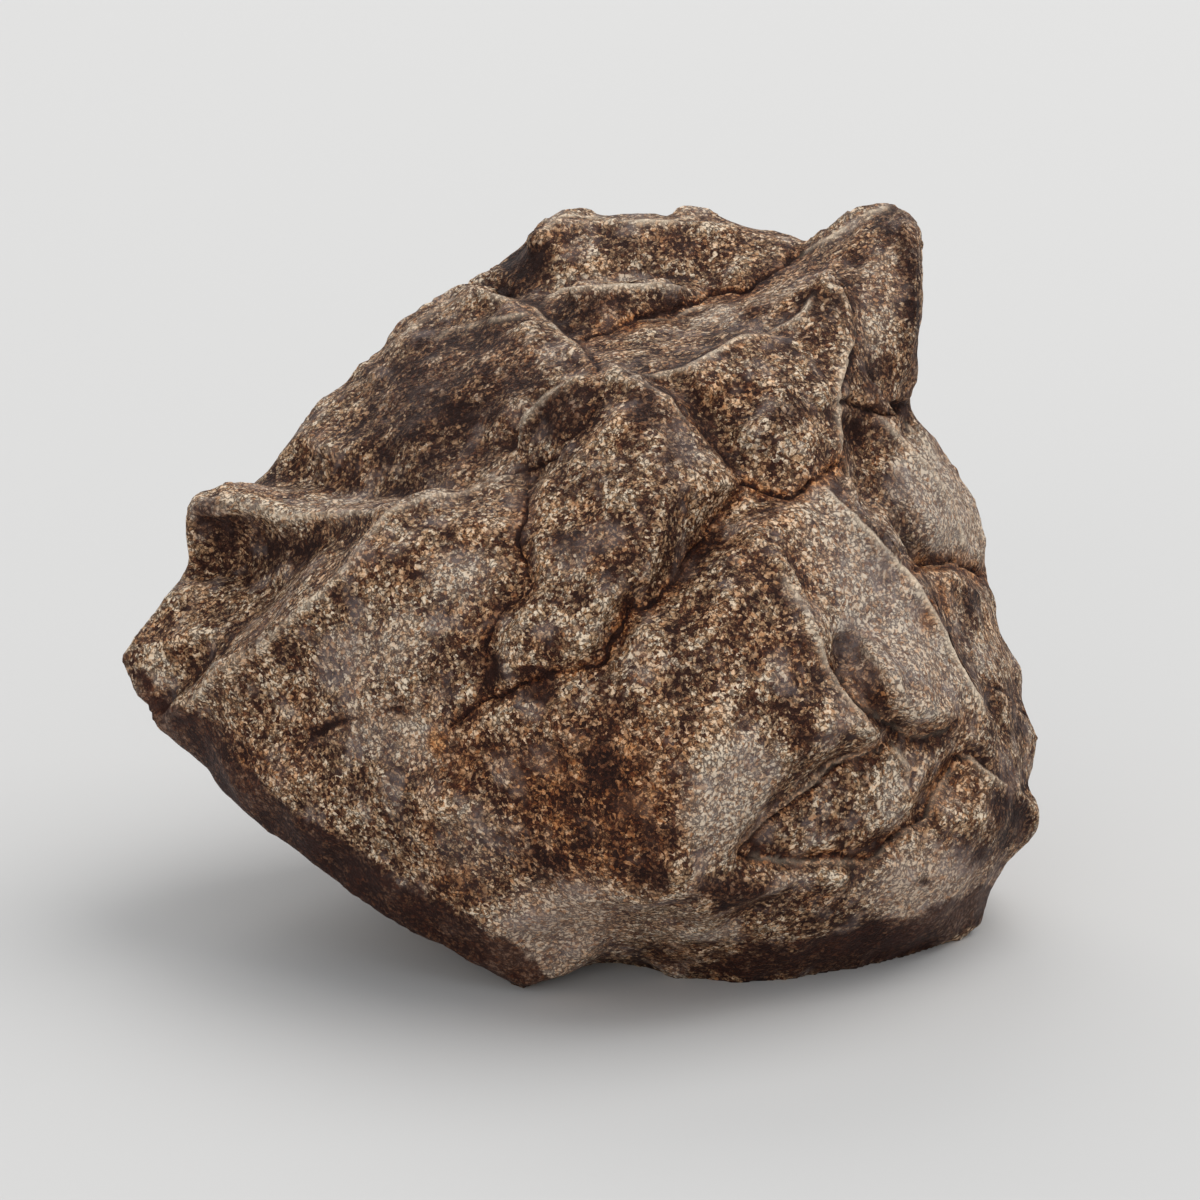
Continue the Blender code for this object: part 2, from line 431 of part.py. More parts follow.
def make_material():
    """Dark brown stone with a dull, slightly waxy weathered skin."""
    material = bpy.data.materials.new("meteorite_stone")
    material.use_nodes = True
    surface = material.node_tree.nodes["Principled BSDF"]
    surface.inputs["Base Color"].default_value = (0.13, 0.085, 0.058, 1.0)
    surface.inputs["Roughness"].default_value = 0.6
    surface.inputs["Metallic"].default_value = 0.0
    return material


def fill_in(line):
    """The points of a line with more between them, so that the cage's edges keep to it."""
    filled = [line[0]]
    for start, end in zip(line[:-1], line[1:]):
        start = Vector(start)
        end = Vector(end)
        pieces = math.ceil((end - start).length / LINE_SPACING)
        filled += [tuple(start.lerp(end, step / pieces)) for step in range(1, pieces + 1)]
    return filled


def make_cage(collection):
    """A closed cage through every landmark: the hull of their directions from the core, pulled back out."""
    core = to_world(*CORE)
    outline = [point for feature in OUTLINE.values() for point in feature]
    landmarks = fill_in(outline + outline[:1])[:-1]
    for line in FRONT_LINES.values():
        landmarks += fill_in(line)
    for face in list(FRONT_FACES.values()) + list(BACK.values()):
        landmarks += face
    places = [to_world(*point) for point in landmarks]
    shell = bmesh.new()
    for place in places:
        shell.verts.new((place - core).normalized())
    shell.verts.index_update()
    bmesh.ops.convex_hull(shell, input=shell.verts, use_existing_faces=False)
    for vert, place in zip(list(shell.verts), places):
        vert.co = place
    bmesh.ops.recalc_face_normals(shell, faces=shell.faces)
    mesh = bpy.data.meshes.new("meteorite_stone")
    shell.to_mesh(mesh)
    shell.free()
    stone = bpy.data.objects.new("meteorite_stone", mesh)
    collection.objects.link(stone)
    return stone


def apply_modifiers(stone):
    """Replace the stone's mesh by what its modifiers make of it."""
    graph = bpy.context.evaluated_depsgraph_get()
    graph.update()
    finished = bpy.data.meshes.new_from_object(stone.evaluated_get(graph))
    stone.modifiers.clear()
    stone.data = finished
    return finished


def round_cage(stone):
    """Divide the cage and soften its edges, as weather does."""
    divide = stone.modifiers.new("divide", "SUBSURF")
    divide.subdivision_type = "SIMPLE"
    divide.levels = CAGE_LEVELS
    divide.render_levels = CAGE_LEVELS
    for factor in ROUNDING * ROUNDING_PAIRS:
        soften = stone.modifiers.new("soften", "SMOOTH")
        soften.factor = factor
        soften.iterations = 1
    apply_modifiers(stone)


def raise_relief(stone):
    """Shallow dents and low bumps all over, broad ones with small ones on them."""
    mesh = stone.data
    points = read_points(mesh)
    normals = read_normals(mesh)
    height = np.empty(len(points))
    for index, point in enumerate(points):
        place = Vector(point) / MM
        broad = noise.fractal(place / BROAD_WAVE, 0.9, 2.1, 3)
        fine = noise.fractal(place / FINE_WAVE + Vector((7.0, 1.0, 4.0)), 0.8, 2.2, 2)
        height[index] = BROAD_HEIGHT * broad + FINE_HEIGHT * fine
    write_points(mesh, points + normals * height[:, None] * MM)


def press_cracks_and_hollows(stone):
    """Press each crack in with a V section, and each hollow with a smooth round one."""
    mesh = stone.data
    points = read_points(mesh)
    normals = read_normals(mesh)
    seen = as_seen(points)
    towards_viewer = np.array(to_world(0, VIEW_MIDDLE_UP, 1) - to_world(0, VIEW_MIDDLE_UP, 0))
    facing = normals @ towards_viewer > 0.0
    depth = np.zeros(len(points))
    for width, deep, path in FRONT_CRACKS.values():
        gap = distance_to_path(seen, path)
        cut = deep * np.clip(1.0 - gap / width, 0.0, 1.0)
        depth = np.maximum(depth, np.where(facing, cut, 0.0))
    for width, deep, path in BACK_CRACKS.values():
        path = [to_world(*point) / MM for point in path]
        gap = distance_to_path(points / MM, path)
        depth = np.maximum(depth, deep * np.clip(1.0 - gap / width, 0.0, 1.0))
    for middle, radius, deep in BACK_HOLLOWS:
        gap = np.linalg.norm(points - np.array(to_world(*middle)), axis=1) / (radius * MM)
        depth += deep * np.clip(1.0 - gap * gap, 0.0, 1.0) ** HOLLOW_FALL
    write_points(mesh, points - normals * depth[:, None] * MM)


def cut_facet(stone, cutters):
    """Cut the underside flat at z = 0, where the stone rests."""
    bpy.ops.mesh.primitive_cube_add(size=CUTTER_SIZE, location=(0.0, 0.0, -CUTTER_SIZE / 2))
    block = bpy.context.object
    block.name = "ground_cutter"
    block.hide_render = True
    block.display_type = "WIRE"
    for collection in block.users_collection:
        collection.objects.unlink(block)
    cutters.objects.link(block)
    trim = stone.modifiers.new("rest facet", "BOOLEAN")
    trim.operation = "DIFFERENCE"
    trim.solver = "EXACT"
    trim.object = block


def thin_out(stone):
    """Keep the triangles where the shape turns, and drop them where it is nearly flat."""
    even = stone.modifiers.new("even out", "REMESH")
    even.mode = "VOXEL"
    even.voxel_size = VOXEL
    mesh = apply_modifiers(stone)
    mesh.calc_loop_triangles()
    reduce = stone.modifiers.new("thin out", "DECIMATE")
    reduce.ratio = TRIANGLES / len(mesh.loop_triangles)
    apply_modifiers(stone)


def build():
    clear_scene()
    parts = bpy.data.collections.new("meteorite")
    cutters = bpy.data.collections.new("cutters")
    bpy.context.scene.collection.children.link(parts)
    bpy.context.scene.collection.children.link(cutters)
    stone = make_cage(parts)
    round_cage(stone)
    raise_relief(stone)
    press_cracks_and_hollows(stone)
    thin_out(stone)
    cut_facet(stone, cutters)
    stone.data.materials.append(make_material())


build()
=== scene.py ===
"""A weathered stony meteorite on a pale studio floor.

The stone starts as a copy of the frame's solid. What a solid of few facets can't hold is added to it:
narrow cracks, weathered lips and small steps along its edges, chipped dents, the colours of its skin, and
painted light and shade: painted light and sheen on lips, ledges and lit sides, and painted shade in
hollows and behind edges. Every place on it is (across, up) in millimetres, as the front view shows it, and
so are the paths on its back.
"""
import math

import bpy
import numpy as np
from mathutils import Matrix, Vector, noise


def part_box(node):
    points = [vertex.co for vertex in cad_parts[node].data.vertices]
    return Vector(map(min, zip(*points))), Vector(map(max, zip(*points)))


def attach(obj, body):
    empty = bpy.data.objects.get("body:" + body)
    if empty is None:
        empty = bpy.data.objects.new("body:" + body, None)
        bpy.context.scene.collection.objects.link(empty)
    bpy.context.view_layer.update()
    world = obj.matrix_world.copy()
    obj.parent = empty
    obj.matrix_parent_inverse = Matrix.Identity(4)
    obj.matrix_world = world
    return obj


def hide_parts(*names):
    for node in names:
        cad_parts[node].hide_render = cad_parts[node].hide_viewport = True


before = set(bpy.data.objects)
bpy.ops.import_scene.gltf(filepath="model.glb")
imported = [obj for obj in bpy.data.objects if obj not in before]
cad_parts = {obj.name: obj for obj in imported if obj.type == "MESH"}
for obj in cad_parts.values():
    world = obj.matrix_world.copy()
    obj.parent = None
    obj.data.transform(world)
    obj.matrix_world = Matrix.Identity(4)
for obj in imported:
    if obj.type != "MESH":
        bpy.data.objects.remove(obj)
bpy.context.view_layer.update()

bl_info = {
    "name": "Meteorite",
    "version": (1, 0, 0),
    "blender": (4, 5, 0),
    "location": "3D View > Sidebar > Meteorite",
    "description": "Adds a weathered stony meteorite and a pale studio to look at it in",
    "category": "Add Mesh",
}

NODE = "meteorite_stone"
MM = 0.001

# The front view, which the places on the stone are given in
VIEW_TILT = math.radians(15)  # how far the view looks down
VIEW_DISTANCE = 600.0         # mm from the viewer to the plane near = 0
VIEW_MIDDLE_UP = 40.0         # mm, height of the view's middle line
VIEW_HALF_WIDTH = 60.0        # mm that the view takes in to each side
ORIGIN_BACK = 7.4             # mm from the view's own origin to the stone's, back, right and up
ORIGIN_RIGHT = 6.0
ORIGIN_UP = 4.3

# How squarely the surface faces the viewer, from -1 to 1, where each thing begins and where it is whole
FRONT = (-0.02, 0.15)         # cracks, edges and crust
PATCH_FRONT = (0.0, 0.4)      # stains, bare patches, painted shade and painted light
WEAR_AND_LIGHT_FRONT = (0.1, 0.6)       # worn lips with their painted highlight
DENT_FRONT = (-0.35, -0.1)    # filled dents
HIDDEN_END = (-0.25, 0.2)     # where the hidden sides' crust is whole and where it ends
DIVIDE_FRONT = -0.05          # least for the points to lie closer beside a line
BACK = (0.1, 0.3)             # the same away from the viewer, for the cracks across the back

MERGE_DISTANCE = 0.01         # mm within which the solid's doubled points are merged
ROUNDING = 1.6                # mm over which the solid's small facets are rounded off
TROUGH_FILL = 0.9             # how fast its wide cracks and stray dents fill, from 0 to 1
TROUGH_WIDTH = 2.2            # mm over which its wide cracks are averaged away
DENT_WIDTH = 4.4              # mm over which its stray dents are
FRONT_TROUGH = (1.9, 1.0)     # mm from a crack on the front where the filling begins and where it is full
BACK_TROUGH = (5.0, 3.0)      # the same from a crack across the back
SHARPEN_REACH = 2.0           # mm beside an edge within which it is sharpened
SHARPEN_REST = 0.2            # how much of that sharpening the rest of the stone gets
SHARPEN = ((2.7, 1.3, 0.7), (1.1, 0.9, 0.2))  # mm averaged over, gain, and most that it moves in mm
DIVIDE_REACH = 0.55           # mm beside a crack or edge where the points lie closer
FACET_MARGIN = 0.35           # mm above the rest facet within which the surface is held on it
NEARER = 1e-9                 # mm by which another stretch of a path has to be nearer to count

WAVER = (0.35, 2.4)           # mm that a line wavers sideways, and mm from one waver to the next
SIDEWAYS_SHIFT = 0.05         # m from the noise of the waver across to that up
OPEN_SHIFT = 0.02             # m from there to the noise of the cracks' width
WEAR_AND_LIGHT_SHIFT = 0.03             # m from there to the noise of the lips' wear and painted highlight
OPEN_SHARE = (4.5, 0.65, 0.9, 0.3)  # how open a crack is along its way: mm of a wave, middle, swing, least
WEAR_AND_LIGHT_SHARE = (3.5, 0.75, 1.0, 0.25)  # how much of a worn lip and its painted highlight is left along its way, in the same terms
CRACK_WIDTH = (0.45, 0.5)     # a crack's width, shut and added where it is open, as a share of its reach
CRACK_DEPTH = (0.35, 0.65)    # the same for its depth
CRACK_DARKENING = (2.4, 0.35)     # how far it darkens what is beside it, in reaches, and how much
CRACK_RUST = 2.6              # how far its rust spreads, in reaches
BACK_WIDTH = (0.5, 0.6)       # width of a crack across the back, shut and added where it is open
BACK_RUST = 0.6               # how rusty it is, from 0 to 1
BACK_DARK = 0.9               # how dark
BACK_WAVER = 1.5              # how much more it wavers

EDGE_WAVER = 0.5              # an edge's waver, as a share of a crack's
PATCH_WAVER = 2.0             # the same for a patch's or the crust's border
PATCH_BORDER = (1.25, 0.35)   # where a patch begins and where it is whole, as a share of its half sizes
CRUST_BORDER = (1.2, 0.5)     # the same for the crust, as a share of its reach
BEHIND = (-0.1, 0.25)         # mm to an edge's left where the ground behind it begins, and is whole
END_TAPER = 2.0               # mm from each end of an edge within which it fades out
STEP_REACH = (0.9, 1.5)       # mm over which an edge's front and its drop behind fade out
STEP_RISE = 0.3               # how far an edge's front comes forward, as a share of the drop behind
LIP_REACH = 0.5               # mm over which a worn lip falls
WORN_AND_LIT_REACH = 0.33             # mm that its cream line, wear with a painted highlight, is wide
PALE_REACH = 1.1              # mm over which the stone beside it is paler with painted light
PALE_SHARE = 0.6              # how pale that painted light is, as a share of its wear and light
EDGE_SHADE = 1.0              # mm over which the painted shadow in the drop behind an edge stays dark
LEAN = (0.5, 0.25)            # how squarely it faces where a lip has its full width, and the least of that

CHIP_BEND = (0.7, 0.6)        # waves per dent that bend the chipped dents, and how far they bend them
CHIP_SEED = 1                 # of those waves, so that they are the same each run
ROUGH_WAVE = 1.6              # mm of the fine roughness's widest waves
ROUGH_HEIGHT = 0.07           # mm
FRACTAL = (0.75, 2.1)         # how fast each finer wave of a rolling relief fades and shrinks
SMOOTH_CRUST = 0.7            # how much of the relief the crust hides

# How far a point stands out of what is around it: mm averaged over, and the height in mm that counts as 1
EDGE_FIELDS = {"edge_fine": (0.8, 0.12), "edge_broad": (2.0, 0.45)}

# The clouds of noise that colour the stone: size in mm, detail and roughness
CLOUDS = {
    "shade": (9.0, 3.0, 0.6),
    "blotch": (3.2, 3.0, 0.65),
    "skin": (2.6, 4.0, 0.62),
    "hidden crust": (15.0, 4.0, 0.6),
    "grey": (4.0, 3.0, 0.6),
    "ember": (5.0, 3.0, 0.6),
}
GLOSS = 0.14                  # specular level of the stone
BUMP_STRENGTH = 0.7
BUMP_DEPTH = 0.28             # mm

# The soft lamps: place and side in metres, and colour
LAMPS = {
    "key": ((1.0, 0.3, 1.9), 2.0, (1.0, 0.98, 0.95)),
    "fill": ((-0.4, -1.9, 0.3), 1.4, (1.0, 0.98, 0.96)),
    "back": ((-0.4, 1.6, 1.3), 1.2, (1.0, 0.98, 0.95)),
}
LAMP_AIM = (0.0, 0.0, 0.035)
SKY_COLOR = (0.96, 0.98, 1.0, 1.0)
FLOOR_ROUGHNESS = 0.9

# Stray dents of the solid, filled: middle, half width and half height in mm, and turn in degrees
DENTS = {
    "horn face": ((28.6, 70.0), (3.6, 9.5), 0),
    "knob ledge back": ((-27.0, 52.6), (6.5, 2.0), 0),
    "top block left": ((-6.0, 72.8), (3.0, 2.6), 0),
    "behind the dome": ((-6.0, 70.4), (3.6, 2.3), -25),
    "horn foot": ((27.6, 62.4), (2.8, 4.2), 0),
    "panel": ((22.0, 18.6), (6.5, 3.4), 20),
    "fist left": ((26.6, 31.4), (1.7, 2.6), 30),
}

# Cracks on the front: reach to each side and depth in mm, rust from 0 to 1, and the places on the way
CRACKS = {
    "vertical": (0.26, 0.5, 0.45, [
        (-7.2, 52.8), (-7.3, 49.5), (-7.5, 48.0), (-8.3, 46.0), (-8.0, 44.5), (-7.0, 41.5), (-7.2, 40.5),
        (-8.5, 39.8), (-9.5, 39.3), (-10.5, 38.0), (-11.5, 35.0), (-11.7, 32.0), (-11.0, 30.5),
    ]),
    "diagonal": (0.27, 0.65, 0.8, [
        (14.3, 51.7), (13.8, 50.5), (11.2, 47.5), (9.2, 44.5), (7.2, 41.8), (6.2, 40.5), (5.0, 39.5),
        (3.0, 39.0), (1.7, 36.8), (0.5, 34.2), (-0.5, 33.5), (-2.0, 33.2), (-4.0, 32.8), (-7.5, 31.7),
        (-9.0, 30.8), (-12.0, 30.0), (-13.8, 28.2), (-15.0, 27.2),
    ]),
    "right of the nose": (0.32, 0.7, 1.0, [
        (14.2, 51.7), (15.8, 51.0), (17.5, 50.7), (19.0, 50.3), (20.0, 50.8), (21.2, 52.0), (22.2, 52.2),
        (23.2, 53.2), (24.3, 54.0),
    ]),
    "nose hollow": (0.28, 0.5, 0.15, [
        (-0.1, 60.5), (-0.4, 58.8), (-1.9, 57.1), (-3.8, 55.8), (-4.3, 54.4), (-6.5, 53.1), (-10.4, 52.7),
    ]),
    "above the nose": (0.28, 0.4, 0.3, [(-1.0, 64.9), (-0.4, 63.1)]),
    "under the top block": (0.32, 0.6, 0.7, [
        (-1.5, 66.2), (0.7, 66.8), (2.9, 67.7), (3.6, 68.4), (7.3, 69.0), (11.0, 70.6), (14.7, 71.2),
        (15.8, 71.9), (20.3, 74.8),
    ]),
    "thin left": (0.42, 0.35, 0.2, [
        (-28.8, 26.6), (-27.5, 27.0), (-25.5, 27.9), (-24.0, 28.0), (-22.8, 28.3), (-20.2, 29.3),
    ]),
    "lobe": (0.25, 0.5, 0.7, [
        (28.3, 25.4), (28.1, 24.6), (25.0, 24.0), (23.1, 23.3), (21.5, 21.5), (19.0, 19.7), (16.5, 17.5),
        (14.0, 14.7),
    ]),
    "panel": (0.25, 0.45, 0.8, [
        (14.2, 14.5), (16.0, 14.0), (20.0, 14.2), (23.5, 14.3), (26.5, 14.0), (27.5, 14.8), (30.0, 16.8),
        (32.5, 18.2), (33.4, 21.1), (35.7, 24.1), (37.5, 24.0),
    ]),
    "fist foot": (0.3, 0.6, 0.5, [
        (23.3, 33.2), (25.6, 30.1), (27.6, 28.3), (30.9, 26.3), (32.8, 26.1), (34.8, 26.6), (35.9, 27.8),
    ]),
    "bulge foot": (0.34, 0.7, 1.0, [(31.6, 42.9), (31.9, 43.7), (33.6, 43.5), (35.6, 44.0), (38.1, 42.4)]),
    "fourth lump": (0.3, 0.4, 0.3, [(39.7, 31.2), (42.7, 28.6)]),
    "behind the nose rim": (0.25, 0.3, 0.4, [
        (5.5, 62.0), (7.0, 61.0), (8.8, 58.5), (9.5, 57.5), (12.0, 54.8), (14.0, 52.2),
    ]),
    "under the horn": (0.7, 0.9, 0.2, [
        (24.3, 59.9), (25.4, 59.5), (26.8, 59.2), (28.6, 59.0), (30.2, 59.3), (31.6, 60.0),
    ]),
    "beside the horn": (0.3, 0.6, 0.3, [
        (24.4, 71.6), (25.4, 69.0), (26.0, 66.5), (25.3, 64.2), (24.5, 61.5), (24.4, 59.7),
    ]),
}

# Edges on the front, each walked so that what lies behind is on the left: rise of the lip and drop behind
# it in mm, how worn and lit the lip is, with a painted highlight and sheen, and how dark the painted
# shadow in the drop is, from 0 to 1, and the places on the way
EDGES = {
    "left": (0.2, 0.3, 0.45, 0, [
        (-43.2, 28.5), (-41.0, 30.0), (-38.5, 33.2), (-35.0, 35.0), (-32.0, 37.4), (-27.8, 41.2),
        (-24.8, 44.2), (-21.5, 48.8), (-18.0, 50.3), (-13.0, 51.1), (-10.0, 52.4), (-7.6, 52.7),
    ]),
    "knob ledge": (0.25, 0, 0.7, 0, [
        (-39.5, 49.3), (-35.5, 49.9), (-31.2, 48.4), (-28.5, 48.7), (-25.0, 48.9), (-23.0, 49.0),
    ]),
    "dome": (0.2, 1.2, 0.55, 0.7, [
        (-12.6, 71.2), (-8.2, 69.9), (-6.3, 69.2), (-4.1, 66.9), (-1.9, 65.3), (-1.0, 63.8),
    ]),
    "dome left": (0.15, 0, 0.55, 0, [
        (-23.5, 63.4), (-21.8, 65.2), (-19.0, 67.2), (-16.0, 69.5), (-12.6, 70.9),
    ]),
    "dome wrinkle": (0.12, 0, 0.5, 0, [(-17.0, 66.0), (-15.4, 67.0), (-11.0, 68.2), (-6.2, 69.2)]),
    "wedge": (0.3, 0.9, 0.8, 0.1, [
        (-6.4, 69.0), (-5.2, 70.4), (-3.9, 71.0), (-1.5, 71.4), (1.1, 71.5), (6.2, 71.8), (9.6, 71.0),
    ]),
    "under the wedge": (0.15, 0, 0.5, 0, [(3.6, 68.2), (7.3, 68.2), (9.2, 69.2), (14.2, 69.9)]),
    "top": (0.15, 0, 0.8, 0, [(-6.5, 76.8), (-3.8, 78.6), (1.0, 78.2), (7.0, 78.0), (10.5, 78.6)]),
    "lobe": (0.3, 0.4, 0.75, 0, [
        (18.0, 43.5), (19.0, 41.9), (21.6, 37.7), (22.1, 36.0), (22.8, 33.1), (25.6, 29.5), (28.3, 26.1),
    ]),
    "lobe foot": (0.1, 0.4, 0.3, 0.4, [
        (28.6, 25.8), (28.2, 24.8), (25.0, 24.2), (23.1, 23.5), (21.5, 21.7), (19.0, 19.9), (16.5, 17.7),
        (14.0, 14.9),
    ]),
    "right": (0.2, 1.6, 1.0, 0.85, [
        (22.2, 51.7), (25.0, 49.0), (28.0, 46.0), (29.6, 44.2), (31.4, 42.2), (33.3, 39.4), (34.9, 36.2),
        (36.2, 33.4), (37.2, 31.7), (38.2, 30.1), (38.7, 28.1),
    ]),
    "fist": (0.1, 0.4, 0.2, 0.3, [(25.3, 35.3), (26.3, 35.1), (28.1, 34.1), (28.9, 32.7), (29.3, 31.1)]),
    "fist foot": (0.15, 0.9, 0.2, 0.7, [
        (35.9, 27.8), (34.8, 26.6), (32.8, 26.1), (30.9, 26.3), (27.6, 28.3), (25.6, 30.1), (23.3, 33.2),
    ]),
    "saddle": (0.2, 1.2, 0.55, 0.5, [
        (2.6, 62.4), (5.5, 62.6), (8.5, 63.3), (11.0, 64.8), (14.0, 66.3), (17.0, 66.8), (20.0, 68.6),
        (21.6, 71.2),
    ]),
    "nose": (0.2, 0.4, 0.5, 0.2, [(-8.5, 56.6), (-7.5, 58.6), (-5.2, 60.7), (-2.6, 62.3), (-0.6, 63.0)]),
    "nose right": (0.15, 0.8, 0.25, 0.8, [
        (1.2, 62.6), (4.6, 61.7), (7.0, 60.3), (9.0, 57.9), (10.8, 55.7), (12.8, 53.5), (14.4, 51.5),
    ]),
    "block": (0.25, 0.9, 0.6, 0.7, [(35.6, 24.6), (37.1, 24.3), (38.9, 22.8), (41.4, 21.1)]),
    "panel facet": (0.15, 0.3, 0.7, 0, [(28.9, 26.1), (30.9, 23.6), (30.9, 20.0)]),
    "panel foot": (0.05, 0.25, 0.3, 0.3, [
        (14.2, 14.3), (20.0, 14.0), (26.5, 13.8), (30.0, 16.6), (32.5, 18.0), (33.6, 21.0), (35.7, 23.9),
    ]),
    "buttress": (0.15, 0.9, 0.55, 0.6, [
        (22.0, 72.0), (24.2, 71.3), (25.2, 69.0), (25.8, 66.5), (25.0, 64.2), (24.1, 61.5), (24.1, 58.0),
        (24.5, 54.2), (25.6, 50.4),
    ]),
    "horn foot": (0, 0.8, 0, 1.0, [
        (34.0, 61.0), (31.6, 60.0), (30.2, 59.3), (28.6, 59.0), (26.8, 59.2), (24.6, 59.8), (22.6, 60.2),
    ]),
    "right bulge": (0.3, 0, 1.0, 0, [
        (27.8, 58.9), (29.4, 57.2), (31.0, 55.4), (33.2, 53.2), (34.8, 50.8), (36.0, 47.8), (36.8, 44.6),
    ]),
    "right bulge, high": (0.1, 0, 0.5, 0, [(30.0, 58.4), (31.6, 56.6), (32.8, 55.0), (34.6, 53.6)]),
    "horn right": (0.4, 0, 0, 0, [(30.0, 79.0), (31.6, 74.0), (31.4, 68.0), (30.8, 62.0)]),
    "horn ridge": (0.2, 0, 0.9, 0, [(19.5, 74.4), (23.5, 76.6), (26.5, 78.6), (29.5, 79.8)]),
    "second lump": (0.2, 0.9, 0.3, 0.7, [(31.2, 42.6), (32.6, 43.3), (35.6, 43.7), (38.1, 42.2)]),
    "fourth lump": (0.2, 0.8, 0.3, 0.6, [(38.9, 31.4), (40.6, 30.6), (42.9, 28.4)]),
}
